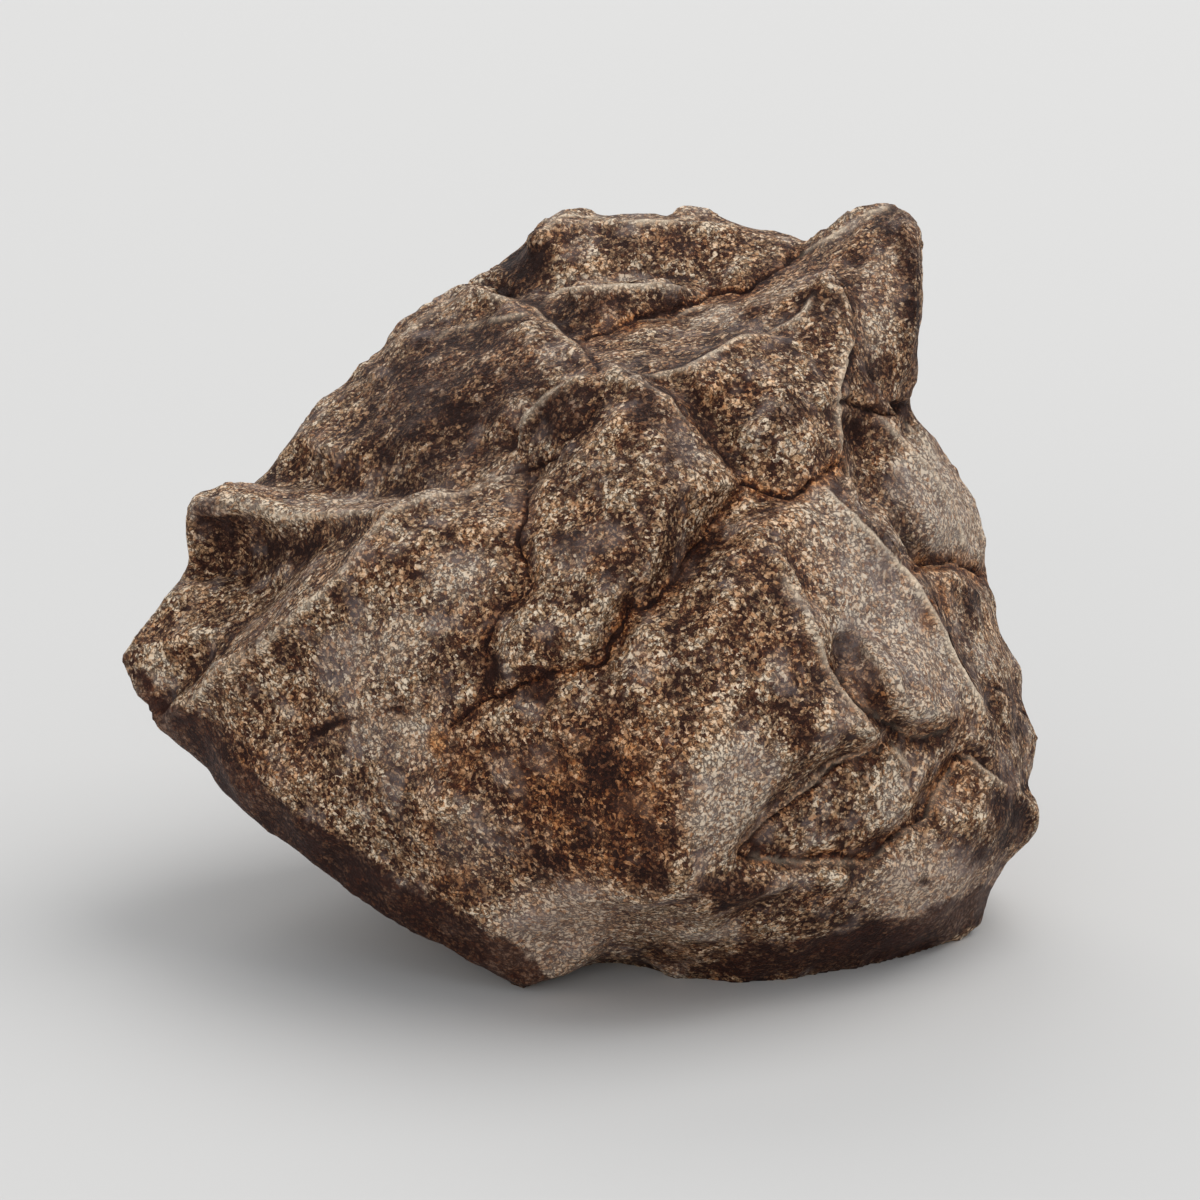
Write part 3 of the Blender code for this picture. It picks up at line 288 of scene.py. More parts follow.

# Stains, bare patches, painted shade and painted light on the front: middle, half width and half height in
# mm, turn in degrees, and then how dark (stains and painted shade), how rusty and how pale (bare patches
# and painted light and sheen), from 0 to 1
# The pale of the tip, under, low right, the ledge tops, the saddle, the right flank and the right bulge is
# painted light and sheen; the dark of the nose hollow, beside the diagonal crack and the wedge front is
# painted shade
PATCHES = {
    "rusty front": ((-1.0, 20.0), (10.0, 10.5), 0, 0.3, 0.6, 0),
    "front hollow": ((0, 23.0), (2.6, 4.0), -15, 0.75, 0.2, 0),
    "front hollow foot": ((5.0, 12.4), (3.0, 2.4), 0, 0.8, 0.2, 0),
    "front hollow left": ((-5.0, 13.2), (2.8, 2.4), 0, 0.7, 0.2, 0),
    "end of the nose": ((-6.0, 31.0), (2.4, 1.4), 10, 0.7, 0.3, 0),
    "vertical crack pit": ((-10.8, 32.8), (1.1, 2.1), 0, 1.0, 0, 0),
    "beside the diagonal crack": ((10.6, 45.2), (3.0, 1.0), 50, 0.7, 0.35, 0),
    "grey front": ((12.5, 20.0), (4.6, 7.0), -25, 0, 0, 0.75),
    "tip": ((-4.5, 6.8), (8.5, 5.6), 20, 0, 0.2, 1.0),
    "bottom band": ((13.0, 10.6), (4.8, 2.1), 0, 0.8, 0.2, 0),
    "bottom band right": ((25.0, 7.0), (8.0, 2.4), -8, 0.4, 0, 0),
    "low right": ((33.0, 11.6), (7.5, 4.6), 10, 0, 0.15, 0.9),
    "under": ((6.0, 7.2), (6.5, 2.0), 0, 0, 0, 0.35),
    "knob ledge top": ((-24.0, 49.6), (7.5, 1.2), 0, 0, 0, 0.6),
    "strip": ((-34.0, 37.0), (4.5, 3.0), 45, 0.3, 0.1, 0),
    "block corner": ((41.3, 18.4), (2.6, 3.4), 0, 0.75, 0, 0),
    "block hollow": ((37.2, 14.6), (1.9, 2.3), 0, 0.6, 0, 0),
    "lobe side": ((20.4, 26.0), (1.4, 2.8), 0, 0.6, 0.3, 0),
    "flank spot": ((27.5, 45.2), (1.3, 1.3), 0, 0.6, 0, 0),
    "second flank spot": ((28.5, 42.5), (1.0, 1.7), 0, 0.5, 0.1, 0),
    "nose right": ((5.0, 58.6), (2.6, 2.2), -30, 0.7, 0, 0),
    "nose middle": ((6.4, 54.6), (1.6, 1.5), 0, 0.5, 0, 0),
    "nose low": ((-3.2, 46.0), (2.4, 1.7), 0, 0.5, 0, 0),
    "nose hollow": ((-4.4, 58.4), (3.6, 3.0), 35, 0.8, 0, 0),
    "round pit": ((32.5, 12.0), (1.0, 0.7), 0, 1.0, 0, 0),
    "orange spot": ((-16.3, 25.5), (0.8, 1.4), 0, 0, 1.0, 0.1),
    "left face, high": ((-14.5, 42.5), (4.0, 3.6), 0, 0, 0, 0.6),
    "left face, middle": ((-22.0, 35.0), (7.5, 3.6), 30, 0, 0, 0.5),
    "lower front": ((3.0, 15.5), (5.5, 5.0), 0, 0.4, 0.4, 0),
    "wedge front": ((-0.5, 69.3), (5.2, 1.5), 0, 0.7, 0.1, 0),
    "wedge top": ((1.5, 72.2), (6.0, 0.8), 0, 0, 0, 0.8),
    "right flank": ((29.0, 39.5), (6.5, 15.0), 32, 0, 0, 0.9),
    "horn grey": ((27.8, 70.0), (2.8, 7.0), 0, 0, 0, 0.5),
    "horn right rim": ((31.4, 70.0), (1.5, 10.5), 0, 0.6, 0, 0),
    "right bulge": ((34.3, 50.0), (4.4, 8.4), 20, 0, 0, 1.0),
    "right bulge, far": ((37.0, 49.0), (1.8, 6.5), 14, 0, 0, 0.9),
    "right bulge, middle": ((30.0, 50.0), (2.2, 4.8), 20, 0.5, 0, 0),
    "horn face": ((28.6, 68.0), (3.4, 9.0), 0, 0.1, 0, 0),
    "left face, low": ((-21.0, 26.5), (7.0, 3.8), -25, 0, 0, 0.6),
    "left face, lower": ((-13.0, 15.5), (4.0, 5.0), 0, 0, 0, 0.35),
    "saddle": ((11.8, 68.4), (3.2, 1.4), 8, 0, 0, 0.7),
    "top block left": ((-7.6, 74.2), (2.6, 3.6), 0, 0.85, 0, 0),
    "horn tip": ((29.6, 77.6), (2.6, 2.4), 0, 0.55, 0, 0),
    "horn side": ((25.8, 73.4), (1.1, 1.6), 0, 0.6, 0.1, 0),
    "horn foot": ((27.5, 62.5), (2.6, 2.4), 0, 0.6, 0.1, 0),
    "buttress head": ((22.2, 69.4), (2.8, 2.0), 0, 0.65, 0, 0),
    "buttress middle": ((19.0, 59.0), (3.0, 2.6), 0, 0.4, 0, 0),
    "knob": ((-38.5, 47.5), (3.4, 2.6), 0, 0.75, 0.1, 0),
    "knob right": ((-31.0, 44.8), (4.0, 2.4), 0, 0.5, 0, 0),
    "dome": ((-15.0, 60.0), (12.0, 8.0), 35, 0.55, 0, 0),
    "fist right": ((31.8, 30.4), (4.0, 3.0), -25, 0, 0, 0.7),
    "slab": ((29.2, 19.8), (1.6, 4.0), 0, 0, 0, 0.6),
    "nose": ((4.5, 48.0), (7.0, 9.0), 0, 0.2, 0, 0),
    "fist left": ((26.8, 31.2), (2.6, 4.4), 35, 0.4, 0.35, 0),
    "second lump": ((37.4, 40.0), (1.5, 4.0), -20, 0.7, 0, 0),
    "second lump, rusty": ((33.8, 39.6), (1.5, 3.4), -25, 0, 0.7, 0),
    "saddle hollow": ((16.5, 69.6), (3.4, 1.3), 30, 0.4, 0.1, 0),
    "left of the saddle": ((4.6, 60.9), (1.6, 1.2), 0, 0.6, 0, 0),
    "ground behind the right edge": ((38.6, 34.5), (1.6, 2.4), -20, 0, 0, 0.6),
    "block, rusty": ((36.6, 21.2), (2.4, 2.4), 0, 0, 0.5, 0.2),
    "rusty left edge": ((-34.5, 24.0), (5.0, 1.6), -45, 0.25, 0.4, 0),
    "rusty lower left": ((-14.0, 11.5), (3.0, 2.6), -45, 0.35, 0.4, 0),
    "rusty under the crack": ((-13.0, 23.5), (4.0, 3.4), 0, 0.15, 0.4, 0),
    "third lump": ((41.6, 26.5), (1.4, 2.2), 0, 0.5, 0, 0),
}

# The smooth dark crust left along the lower edges: reach in mm, strength, and the places on the way
CRUST = {
    "lower left": (3.0, 1.0, [
        (-43.5, 27.5), (-41.0, 26.0), (-38.5, 22.8), (-35.0, 19.4), (-30.0, 15.6), (-24.5, 12.0),
        (-18.0, 7.8), (-11.0, 4.0), (-7.5, 1.8),
    ]),
    "bottom": (1.6, 0.55, [(4.0, 4.6), (14.0, 3.0)]),
    "bottom right": (2.5, 0.85, [(15.0, 3.6), (24.0, 4.4), (33.0, 6.8), (38.5, 9.6)]),
    "under the left shoulder": (1.6, 0.6, [(-47.5, 34.0), (-46.0, 31.0), (-43.5, 28.0)]),
}

# Cracks across the back: reach and depth in mm, and the places on the way, as if seen through the stone
BACK_CRACKS = {
    "long": (0.45, 0.8, [
        (-26.0, 56.0), (-15.0, 50.0), (-2.0, 44.0), (9.0, 42.0), (20.0, 33.0), (33.0, 27.0),
    ]),
    "short": (0.4, 0.7, [(9.0, 42.0), (12.0, 54.0), (9.0, 65.0), (15.0, 73.0)]),
    "low": (0.4, 0.7, [(-30.0, 32.0), (-18.0, 26.0), (-4.0, 24.0), (6.0, 18.0)]),
}


def srgb(red, green, blue):
    """The linear colour of a screen colour given from 0 to 255."""
    shares = [value / 255 for value in (red, green, blue)]
    return tuple(s / 12.92 if s <= 0.04045 else ((s + 0.055) / 1.055) ** 2.4 for s in shares)


class MeteoriteStone(bpy.types.PropertyGroup):
    """Sizes and colours of the stone."""

    grain: bpy.props.FloatProperty(
        name="Surface grain", description="Spacing of the stone's surface points",
        default=0.6 * MM, min=0.4 * MM, max=2.0 * MM, precision=5, unit="LENGTH",
    )
    chip_size: bpy.props.FloatProperty(
        name="Chip size", description="Width of the shallow chipped dents",
        default=4.2 * MM, min=1.0 * MM, max=20.0 * MM, precision=5, unit="LENGTH",
    )
    chip_depth: bpy.props.FloatProperty(
        name="Chip depth", description="Depth of the shallow chipped dents",
        default=0.24 * MM, min=0.0, max=2.0 * MM, precision=5, unit="LENGTH",
    )
    speck_size: bpy.props.FloatProperty(
        name="Speck size", description="Width of a mineral grain",
        default=0.38 * MM, min=0.1 * MM, max=3.0 * MM, precision=5, unit="LENGTH",
    )
    # Also the colour of the deepest painted shadows
    dark: bpy.props.FloatVectorProperty(
        name="Crust", description="Colour of the dark weathered crust",
        default=srgb(40, 20, 13), min=0.0, max=1.0, subtype="COLOR",
    )
    brown: bpy.props.FloatVectorProperty(
        name="Brown", description="Colour of the stone between its grains",
        default=srgb(92, 58, 40), min=0.0, max=1.0, subtype="COLOR",
    )
    skin: bpy.props.FloatVectorProperty(
        name="Skin", description="Colour of the smooth dark skin left in patches",
        default=srgb(60, 34, 27), min=0.0, max=1.0, subtype="COLOR",
    )
    tan: bpy.props.FloatVectorProperty(
        name="Tan", description="Colour of most mineral grains",
        default=srgb(168, 136, 103), min=0.0, max=1.0, subtype="COLOR",
    )
    # Also the colour of the lips' cream line: wear with a painted highlight
    cream: bpy.props.FloatVectorProperty(
        name="Cream", description="Colour of the palest grains",
        default=srgb(222, 204, 180), min=0.0, max=1.0, subtype="COLOR",
    )
    # Also mixed over pale places as a painted grey sheen
    grey: bpy.props.FloatVectorProperty(
        name="Grey", description="Colour of the bare grey patches",
        default=srgb(142, 132, 131), min=0.0, max=1.0, subtype="COLOR",
    )
    # Its tint also darkens the painted shade behind edges and in hollows
    stain: bpy.props.FloatVectorProperty(
        name="Dark stain", description="Tint that a dark stain gives to what is under it",
        default=(0.2, 0.11, 0.085), min=0.0, max=1.0, subtype="COLOR",
    )
    rust: bpy.props.FloatVectorProperty(
        name="Rust", description="Tint that rust gives to what is under it",
        default=(1.0, 0.62, 0.36), min=0.0, max=1.0, subtype="COLOR",
    )


class MeteoriteStage(bpy.types.PropertyGroup):
    """Sizes and colours of the studio."""

    floor_size: bpy.props.FloatProperty(
        name="Floor size", description="Side of the square floor",
        default=6.0, min=0.5, max=20.0, unit="LENGTH",
    )
    floor_color: bpy.props.FloatVectorProperty(
        name="Floor", description="Colour of the floor",
        default=(0.52, 0.52, 0.52), min=0.0, max=1.0, subtype="COLOR",
    )
    sky: bpy.props.FloatProperty(
        name="Room light", description="Strength of the even light from all round",
        default=0.65, min=0.0, max=5.0,
    )
    key: bpy.props.FloatProperty(
        name="Key light", description="Power of the large lamp above on the right",
        default=34.0, min=0.0, max=500.0, subtype="POWER", unit="POWER",
    )
    fill: bpy.props.FloatProperty(
        name="Fill light", description="Power of the soft lamp low on the left in front",
        default=20.0, min=0.0, max=500.0, subtype="POWER", unit="POWER",
    )
    back: bpy.props.FloatProperty(
        name="Back light", description="Power of the soft lamp behind",
        default=12.0, min=0.0, max=500.0, subtype="POWER", unit="POWER",
    )


def to_world(across, up, near):
    """The point, in metres, that the front view shows at across and up, near mm towards the viewer."""
    spread = (VIEW_DISTANCE - near) / VIEW_DISTANCE
    side = across * spread
    height = VIEW_MIDDLE_UP + (up - VIEW_MIDDLE_UP) * spread
    y = height * math.sin(VIEW_TILT) - near * math.cos(VIEW_TILT) - ORIGIN_BACK
    z = height * math.cos(VIEW_TILT) + near * math.sin(VIEW_TILT) - ORIGIN_UP
    return Vector((side - ORIGIN_RIGHT, y, z)) * MM


def towards_viewer():
    """The direction from the stone to the front view's eye."""
    return (to_world(0, VIEW_MIDDLE_UP, 1) - to_world(0, VIEW_MIDDLE_UP, 0)).normalized()


def as_seen(points):
    """Across and up, in mm, of world points in metres, as the front view shows them."""
    x = points[:, 0] / MM + ORIGIN_RIGHT
    y = points[:, 1] / MM + ORIGIN_BACK
    z = points[:, 2] / MM + ORIGIN_UP
    near = z * math.sin(VIEW_TILT) - y * math.cos(VIEW_TILT)
    height = z * math.cos(VIEW_TILT) + y * math.sin(VIEW_TILT)
    spread = (VIEW_DISTANCE - near) / VIEW_DISTANCE
    up = VIEW_MIDDLE_UP + (height - VIEW_MIDDLE_UP) / spread
    return np.column_stack((x / spread, up))


def distance_to_path(points, path):
    """Distance of each point from a path of straight pieces, in the path's own number of dimensions."""
    path = np.array(path, dtype=float)
    best = np.full(len(points), np.inf)
    for start, end in zip(path[:-1], path[1:]):
        along = end - start
        share = np.clip((points - start) @ along / (along @ along), 0.0, 1.0)
        gap = points - (start + share[:, None] * along)
        best = np.minimum(best, np.linalg.norm(gap, axis=1))
    return best


def side_of_path(points, path):
    """Distance of each point from a path across and up, above 0 on its left and below 0 on its right."""
    path = np.array(path, dtype=float)
    best = np.full(len(points), np.inf)
    side = np.ones(len(points))
    for start, end in zip(path[:-1], path[1:]):
        along = end - start
        offset = points - start
        share = np.clip(offset @ along / (along @ along), 0.0, 1.0)
        gap = np.linalg.norm(offset - share[:, None] * along, axis=1)
        left = along[0] * offset[:, 1] - along[1] * offset[:, 0]
        side = np.where(gap < best - NEARER, np.sign(left), side)
        best = np.minimum(best, gap)
    return best * side


def distance_to_ends(points, path):
    """Distance of each point from the nearer end of a path."""
    return np.minimum(*(np.linalg.norm(points - np.array(end), axis=1) for end in (path[0], path[-1])))


def smooth_step(low, high, values):
    """From 0 where a value is low to 1 where it is high, with smooth ends."""
    share = np.clip((values - low) / (high - low), 0.0, 1.0)
    return share * share * (3.0 - 2.0 * share)


def bell(gap, reach):
    """From 1 where the gap is 0 to nearly 0 at twice the reach."""
    return np.exp(-(gap / reach) ** 2)


def read_points(mesh, name="co"):
    """The mesh's points, or their normals, as rows of three numbers."""
    values = np.empty(len(mesh.vertices) * 3)
    mesh.vertices.foreach_get(name, values)
    return values.reshape(-1, 3)


def turned_to_viewer(mesh):
    """How squarely the surface at each point faces the viewer, from -1 to 1."""
    return read_points(mesh, "normal") @ np.array(towards_viewer())


def write_points(mesh, points):
    """Move the mesh's points to those places."""
    mesh.vertices.foreach_set("co", points.ravel())
    mesh.update()


def write_field(mesh, name, values):
    """Keep one number for each point of the mesh, for its material to read."""
    field = mesh.attributes.new(name, "FLOAT", "POINT")
    field.data.foreach_set("value", np.ascontiguousarray(values, dtype=np.float32))


def neighbour_mean(mesh, values, rounds, share=1.0):
    """The values, each moved by share towards the mean of its neighbours', as often as rounds says."""
    edges = np.empty(len(mesh.edges) * 2, dtype=np.int64)
    mesh.edges.foreach_get("vertices", edges)
    first, second = edges.reshape(-1, 2).T
    count = np.bincount(first, minlength=len(values)) + np.bincount(second, minlength=len(values))
    count = np.maximum(count, 1)
    for _ in range(rounds):
        total = np.empty_like(values)
        for column in range(values.shape[1]):
            total[:, column] = (
                np.bincount(first, weights=values[second, column], minlength=len(values))
                + np.bincount(second, weights=values[first, column], minlength=len(values))
            )
        values = values + share * (total / count[:, None] - values)
    return values


def rounds_for(width, grain):
    """How many rounds of averaging over neighbours reach width mm, with the points grain metres apart."""
    return max(1, round((width * MM / grain) ** 2))


def select_only(piece):
    """Select the piece and nothing else."""
    bpy.ops.object.select_all(action="DESELECT")
    bpy.context.view_layer.objects.active = piece
    piece.select_set(True)


def apply_modifier(piece, kind, **settings):
    """Add a modifier to the piece and apply it."""
    select_only(piece)
    modifier = piece.modifiers.new(kind.lower(), kind)
    for name, value in settings.items():
        setattr(modifier, name, value)
    bpy.ops.object.modifier_apply(modifier=modifier.name)


def copy_solid(node, name):
    """A copy of the frame's solid as a piece of its own, its doubled points merged."""
    piece = bpy.data.objects.new(name, node.data.copy())
    piece.data.materials.clear()
    bpy.context.scene.collection.objects.link(piece)
    select_only(piece)
    bpy.ops.object.mode_set(mode="EDIT")
    bpy.ops.mesh.select_all(action="SELECT")
    bpy.ops.mesh.remove_doubles(threshold=MERGE_DISTANCE * MM)
    bpy.ops.object.mode_set(mode="OBJECT")
    return piece


def patch_cover(seen, middle, half_sizes, turn):
    """From 0 outside an oval patch to 1 well inside it."""
    angle = math.radians(turn)
    offset = seen - np.array(middle)
    along = (offset[:, 0] * math.cos(angle) + offset[:, 1] * math.sin(angle)) / half_sizes[0]
    beside = (offset[:, 1] * math.cos(angle) - offset[:, 0] * math.sin(angle)) / half_sizes[1]
    return smooth_step(*PATCH_BORDER, np.sqrt(along * along + beside * beside))


def nearest_gap(points, wobble, tables):
    """How far each point lies, in mm, from the nearest of the paths, as the front view shows them."""
    seen = as_seen(points) + wobble
    gap = np.full(len(points), np.inf)
    for *_, path in tables:
        gap = np.minimum(gap, distance_to_path(seen, path))
    return gap


def crack_wobble(points):
    """A small sideways waver, in mm across and up, that keeps a crack from running straight."""
    width, wave = WAVER
    return width * np.column_stack((
        rough_height(points, wave * MM, 2), rough_height(points + SIDEWAYS_SHIFT, wave * MM, 2),
    ))


def close_troughs(mesh, grain):
    """Fill the solid's wide cracks, so that narrow ones can be cut in their place, and its stray dents."""
    points = read_points(mesh)
    near_front = smooth_step(*FRONT_TROUGH, nearest_gap(points, 0.0, CRACKS.values()))
    turned = turned_to_viewer(mesh)
    near_back = smooth_step(*BACK_TROUGH, nearest_gap(points, 0.0, BACK_CRACKS.values()))
    near_back = np.where(turned < 0, near_back, 0.0)
    share = TROUGH_FILL * np.maximum(near_front, near_back)[:, None]
    points = neighbour_mean(mesh, points, rounds_for(TROUGH_WIDTH, grain), share)
    facing = smooth_step(*DENT_FRONT, turned)
    dents = np.zeros(len(points))
    for middle, half_sizes, turn in DENTS.values():
        dents = np.maximum(dents, patch_cover(as_seen(points), middle, half_sizes, turn) * facing)
    rounds = rounds_for(DENT_WIDTH, grain)
    write_points(mesh, neighbour_mean(mesh, points, rounds, TROUGH_FILL * dents[:, None]))


def sharpen(mesh, grain):
    """Pull ridges out and push valleys in, most of all along the edges on the front."""
    points = read_points(mesh)
    facing = smooth_step(*FRONT, turned_to_viewer(mesh))
    gap = nearest_gap(points, 0.0, EDGES.values())
    near_edge = np.where(facing > 0, facing * bell(gap, SHARPEN_REACH), 0.0)
    weight = np.maximum(near_edge, SHARPEN_REST)
    for width, gain, most in SHARPEN:
        points = read_points(mesh)
        normals = read_points(mesh, "normal")
        around = neighbour_mean(mesh, points, rounds_for(width, grain))
        out = np.einsum("ij,ij->i", points - around, normals)
        move = weight * np.clip(gain * out, -most * MM, most * MM)
        write_points(mesh, points + normals * move[:, None])


def divide_near_lines(piece):
    """Halve the spacing of the points beside each crack and edge on the front."""
    mesh = piece.data
    points = read_points(mesh)
    facing = turned_to_viewer(mesh) > DIVIDE_FRONT
    lines = list(CRACKS.values()) + list(EDGES.values())
    close = (nearest_gap(points, EDGE_WAVER * crack_wobble(points), lines) < DIVIDE_REACH) & facing
    bpy.ops.object.mode_set(mode="EDIT")
    bpy.ops.mesh.select_mode(type="VERT")
    bpy.ops.mesh.select_all(action="DESELECT")
    bpy.ops.object.mode_set(mode="OBJECT")
    mesh.vertices.foreach_set("select", close)
    bpy.ops.object.mode_set(mode="EDIT")
    bpy.ops.mesh.subdivide(number_cuts=1)
    bpy.ops.object.mode_set(mode="OBJECT")


def chip_height(points, size):
    """From 0 to 1: how deep each point lies in a pattern of shallow dents that meet at crisp edges."""
    noise.seed_set(CHIP_SEED)
    depth = np.empty(len(points))
    waves, reach = CHIP_BEND
    for index, point in enumerate(points / size):
        place = Vector(point)
        bend = noise.noise_vector(place * waves) * reach
        depth[index] = noise.voronoi(place + bend)[0][0]
    return np.clip(1.0 - depth, 0.0, 1.0)


def rough_height(points, size, octaves):
    """About -1 to 1: rolling relief whose widest waves are size across."""
    height = np.empty(len(points))
    for index, point in enumerate(points / size):
        height[index] = noise.fractal(Vector(point), *FRACTAL, octaves)
    return height


def wandering(points, wave, middle, swing, least):
    """A share, from least to 1, that wanders around its middle with waves wave mm long."""
    return np.clip(middle + swing * rough_height(points, wave * MM, 2), least, 1.0)


class Fields(dict):
    """The numbers kept for each point that the stone's colours are made from."""

    def __init__(self, count):
        super().__init__({
            name: np.zeros(count) for name in ("rust", "dark", "pale", "crust", "worn_and_lit", "hidden")
        })

    def raise_to(self, name, values):
        """Raise a field to the values where they are higher."""
        self[name] = np.maximum(self[name], values)


def cut_cracks(points, seen, turned, wobble, fields):
    """How deep, in mm, each point lies in a crack. Adds rust and darkness to the fields."""
    facing = smooth_step(*FRONT, turned)
    away = smooth_step(*BACK, -turned)
    openness = wandering(points + OPEN_SHIFT, *OPEN_SHARE)
    depth = np.zeros(len(points))
    for reach, deep, rusty, path in CRACKS.values():
        gap = distance_to_path(seen + wobble, path)
        width = reach * (CRACK_WIDTH[0] + CRACK_WIDTH[1] * openness)
        core = facing * (CRACK_DEPTH[0] + CRACK_DEPTH[1] * openness)
        depth = np.maximum(depth, deep * core * np.clip(1.0 - gap / width, 0.0, 1.0))
        fields.raise_to("rust", rusty * facing * bell(gap, CRACK_RUST * reach))
        fields.raise_to("dark", core * bell(gap, width))
        fields.raise_to("dark", CRACK_DARKENING[1] * facing * bell(gap, CRACK_DARKENING[0] * reach))
    for reach, deep, path in BACK_CRACKS.values():
        gap = distance_to_path(seen + BACK_WAVER * wobble, path)
        width = reach * (BACK_WIDTH[0] + BACK_WIDTH[1] * openness)
        depth = np.maximum(depth, deep * away * np.clip(1.0 - gap / width, 0.0, 1.0))
        fields.raise_to("rust", BACK_RUST * away * bell(gap, CRACK_RUST * reach))
        fields.raise_to("dark", BACK_DARK * away * bell(gap, width))
    return depth


def shape_edges(points, seen, turned, wobble, fields):
    """How far, in mm, each point rises in a lip and comes forward in a step. Adds the lips' weathered
    cream line with a painted highlight, painted light beside them and painted shadow in the drops behind
    them.
    """
    facing = smooth_step(*FRONT, turned)
    wear_front = smooth_step(*WEAR_AND_LIGHT_FRONT, turned)
    wear_and_light_left = wandering(points + WEAR_AND_LIGHT_SHIFT, *WEAR_AND_LIGHT_SHARE)
    lean = np.clip(turned / LEAN[0], LEAN[1], 1.0)
    lips = np.zeros(len(points))
    front_step = np.zeros(len(points))
    back_step = np.zeros(len(points))
    for rise, drop, wear_and_light, shade, path in EDGES.values():
        side = side_of_path(seen + EDGE_WAVER * wobble, path)
        gap = np.abs(side)
        behind = smooth_step(*BEHIND, side)
        ahead = 1.0 - behind
        cover = facing * smooth_step(0.0, END_TAPER, distance_to_ends(seen, path))
        forward = STEP_RISE * drop * cover * np.exp(-gap / STEP_REACH[0]) * ahead
        front_step = np.maximum(front_step, forward)
        back_step = np.maximum(back_step, drop * cover * np.exp(-gap / STEP_REACH[1]) * behind)
        lips = np.maximum(lips, rise * cover * np.exp(-gap / lean / LIP_REACH) * ahead)
        # The lip's cream line is wear with a painted highlight, the stone beside it is paler with painted
        # light, and the drop behind it is darkened with painted shadow
        bare = wear_and_light * wear_front * cover
        fields.raise_to("worn_and_lit", bare * bell(gap / lean, WORN_AND_LIT_REACH) * ahead * wear_and_light_left)
        beside = np.exp(-gap / lean / PALE_REACH) * (1.0 - shade * behind)
        fields.raise_to("pale", PALE_SHARE * bare * beside)
        fields.raise_to("dark", shade * cover * np.exp(-gap / EDGE_SHADE) * behind)
    return lips, front_step - back_step


def stain(seen, turned, wobble, fields):
    """Add the stains and painted shade, the bare patches and painted light, and the crust to the fields.
    """
    open_front = smooth_step(*PATCH_FRONT, turned)
    for middle, half_sizes, turn, darker, rustier, paler in PATCHES.values():
        cover = open_front * patch_cover(seen + PATCH_WAVER * wobble, middle, half_sizes, turn)
        # Darkness here is stains and painted shade in hollows and under overhangs; paleness is bare
        # patches and painted light and sheen on ledges and lit sides
        fields.raise_to("dark", darker * cover)
        fields.raise_to("rust", rustier * cover)
        fields.raise_to("pale", paler * cover)
    facing = smooth_step(*FRONT, turned)
    for reach, strength, path in CRUST.values():
        gap = distance_to_path(seen + PATCH_WAVER * wobble, path)
        fields.raise_to("crust", strength * facing * smooth_step(*CRUST_BORDER, gap / reach))
    fields.raise_to("hidden", 1.0 - smooth_step(*HIDDEN_END, turned))


def carve(mesh, settings):
    """Where the points go when the cracks, lips, steps and chips are made. Keeps the colours' fields."""
    points = read_points(mesh)
    normals = read_points(mesh, "normal")
    seen = as_seen(points)
    turned = turned_to_viewer(mesh)
    wobble = crack_wobble(points)
    fields = Fields(len(points))
    depth = cut_cracks(points, seen, turned, wobble, fields)
    lips, step = shape_edges(points, seen, turned, wobble, fields)
    stain(seen, turned, wobble, fields)
    for name, values in fields.items():
        write_field(mesh, name, values)

    relief = settings.chip_depth * chip_height(points, settings.chip_size)
    relief -= ROUGH_HEIGHT * MM * rough_height(points, ROUGH_WAVE * MM, 3)
    down = (depth - lips) * MM + relief * (1.0 - SMOOTH_CRUST * fields["crust"])
    return points - normals * down[:, None] + np.array(towards_viewer()) * step[:, None] * MM


def keep_in_box(points, low, high):
    """Hold the surface inside the solid's own box, and its rest facet flat."""
    on_facet = points[:, 2] < low.z + FACET_MARGIN * MM
    points[on_facet, 2] = low.z
    return np.clip(points, np.array(low), np.array(high))


def keep_edge_fields(mesh, grain):
    """Keep how far each point stands out of, or lies below, what is around it."""
    points = read_points(mesh)
    normals = read_points(mesh, "normal")
    for name, (width, full) in EDGE_FIELDS.items():
        around = neighbour_mean(mesh, points, rounds_for(width, grain))
        out = np.einsum("ij,ij->i", points - around, normals)
        write_field(mesh, name, np.clip(out / (full * MM), -1.0, 1.0))


class Number:
    """A number in a material's node tree, which can be written in a sum like any other."""

    def __init__(self, shader, socket):
        self.shader = shader
        self.socket = socket

    def __add__(self, other):
        return self.shader.maths("ADD", self, other)

    def __radd__(self, other):
        return self.shader.maths("ADD", other, self)

    def __sub__(self, other):
        return self.shader.maths("SUBTRACT", self, other)

    def __rsub__(self, other):
        return self.shader.maths("SUBTRACT", other, self)

    def __mul__(self, other):
        return self.shader.maths("MULTIPLY", self, other)

    def __rmul__(self, other):
        return self.shader.maths("MULTIPLY", other, self)

    def __abs__(self):
        return self.shader.maths("ABSOLUTE", self, 0.0)

    def clamped(self):
        """The number held between 0 and 1."""
        return self.shader.maths("ADD", self, 0.0, clamp=True)

    def ramp(self, low, high):
        """From 0 where the number is low to 1 where it is high, with smooth ends."""
        socket = self.shader.node(
            "ShaderNodeMapRange", {"interpolation_type": "SMOOTHSTEP"},
            {"Value": self, "From Min": low, "From Max": high},
        ).outputs["Result"]
        return Number(self.shader, socket)


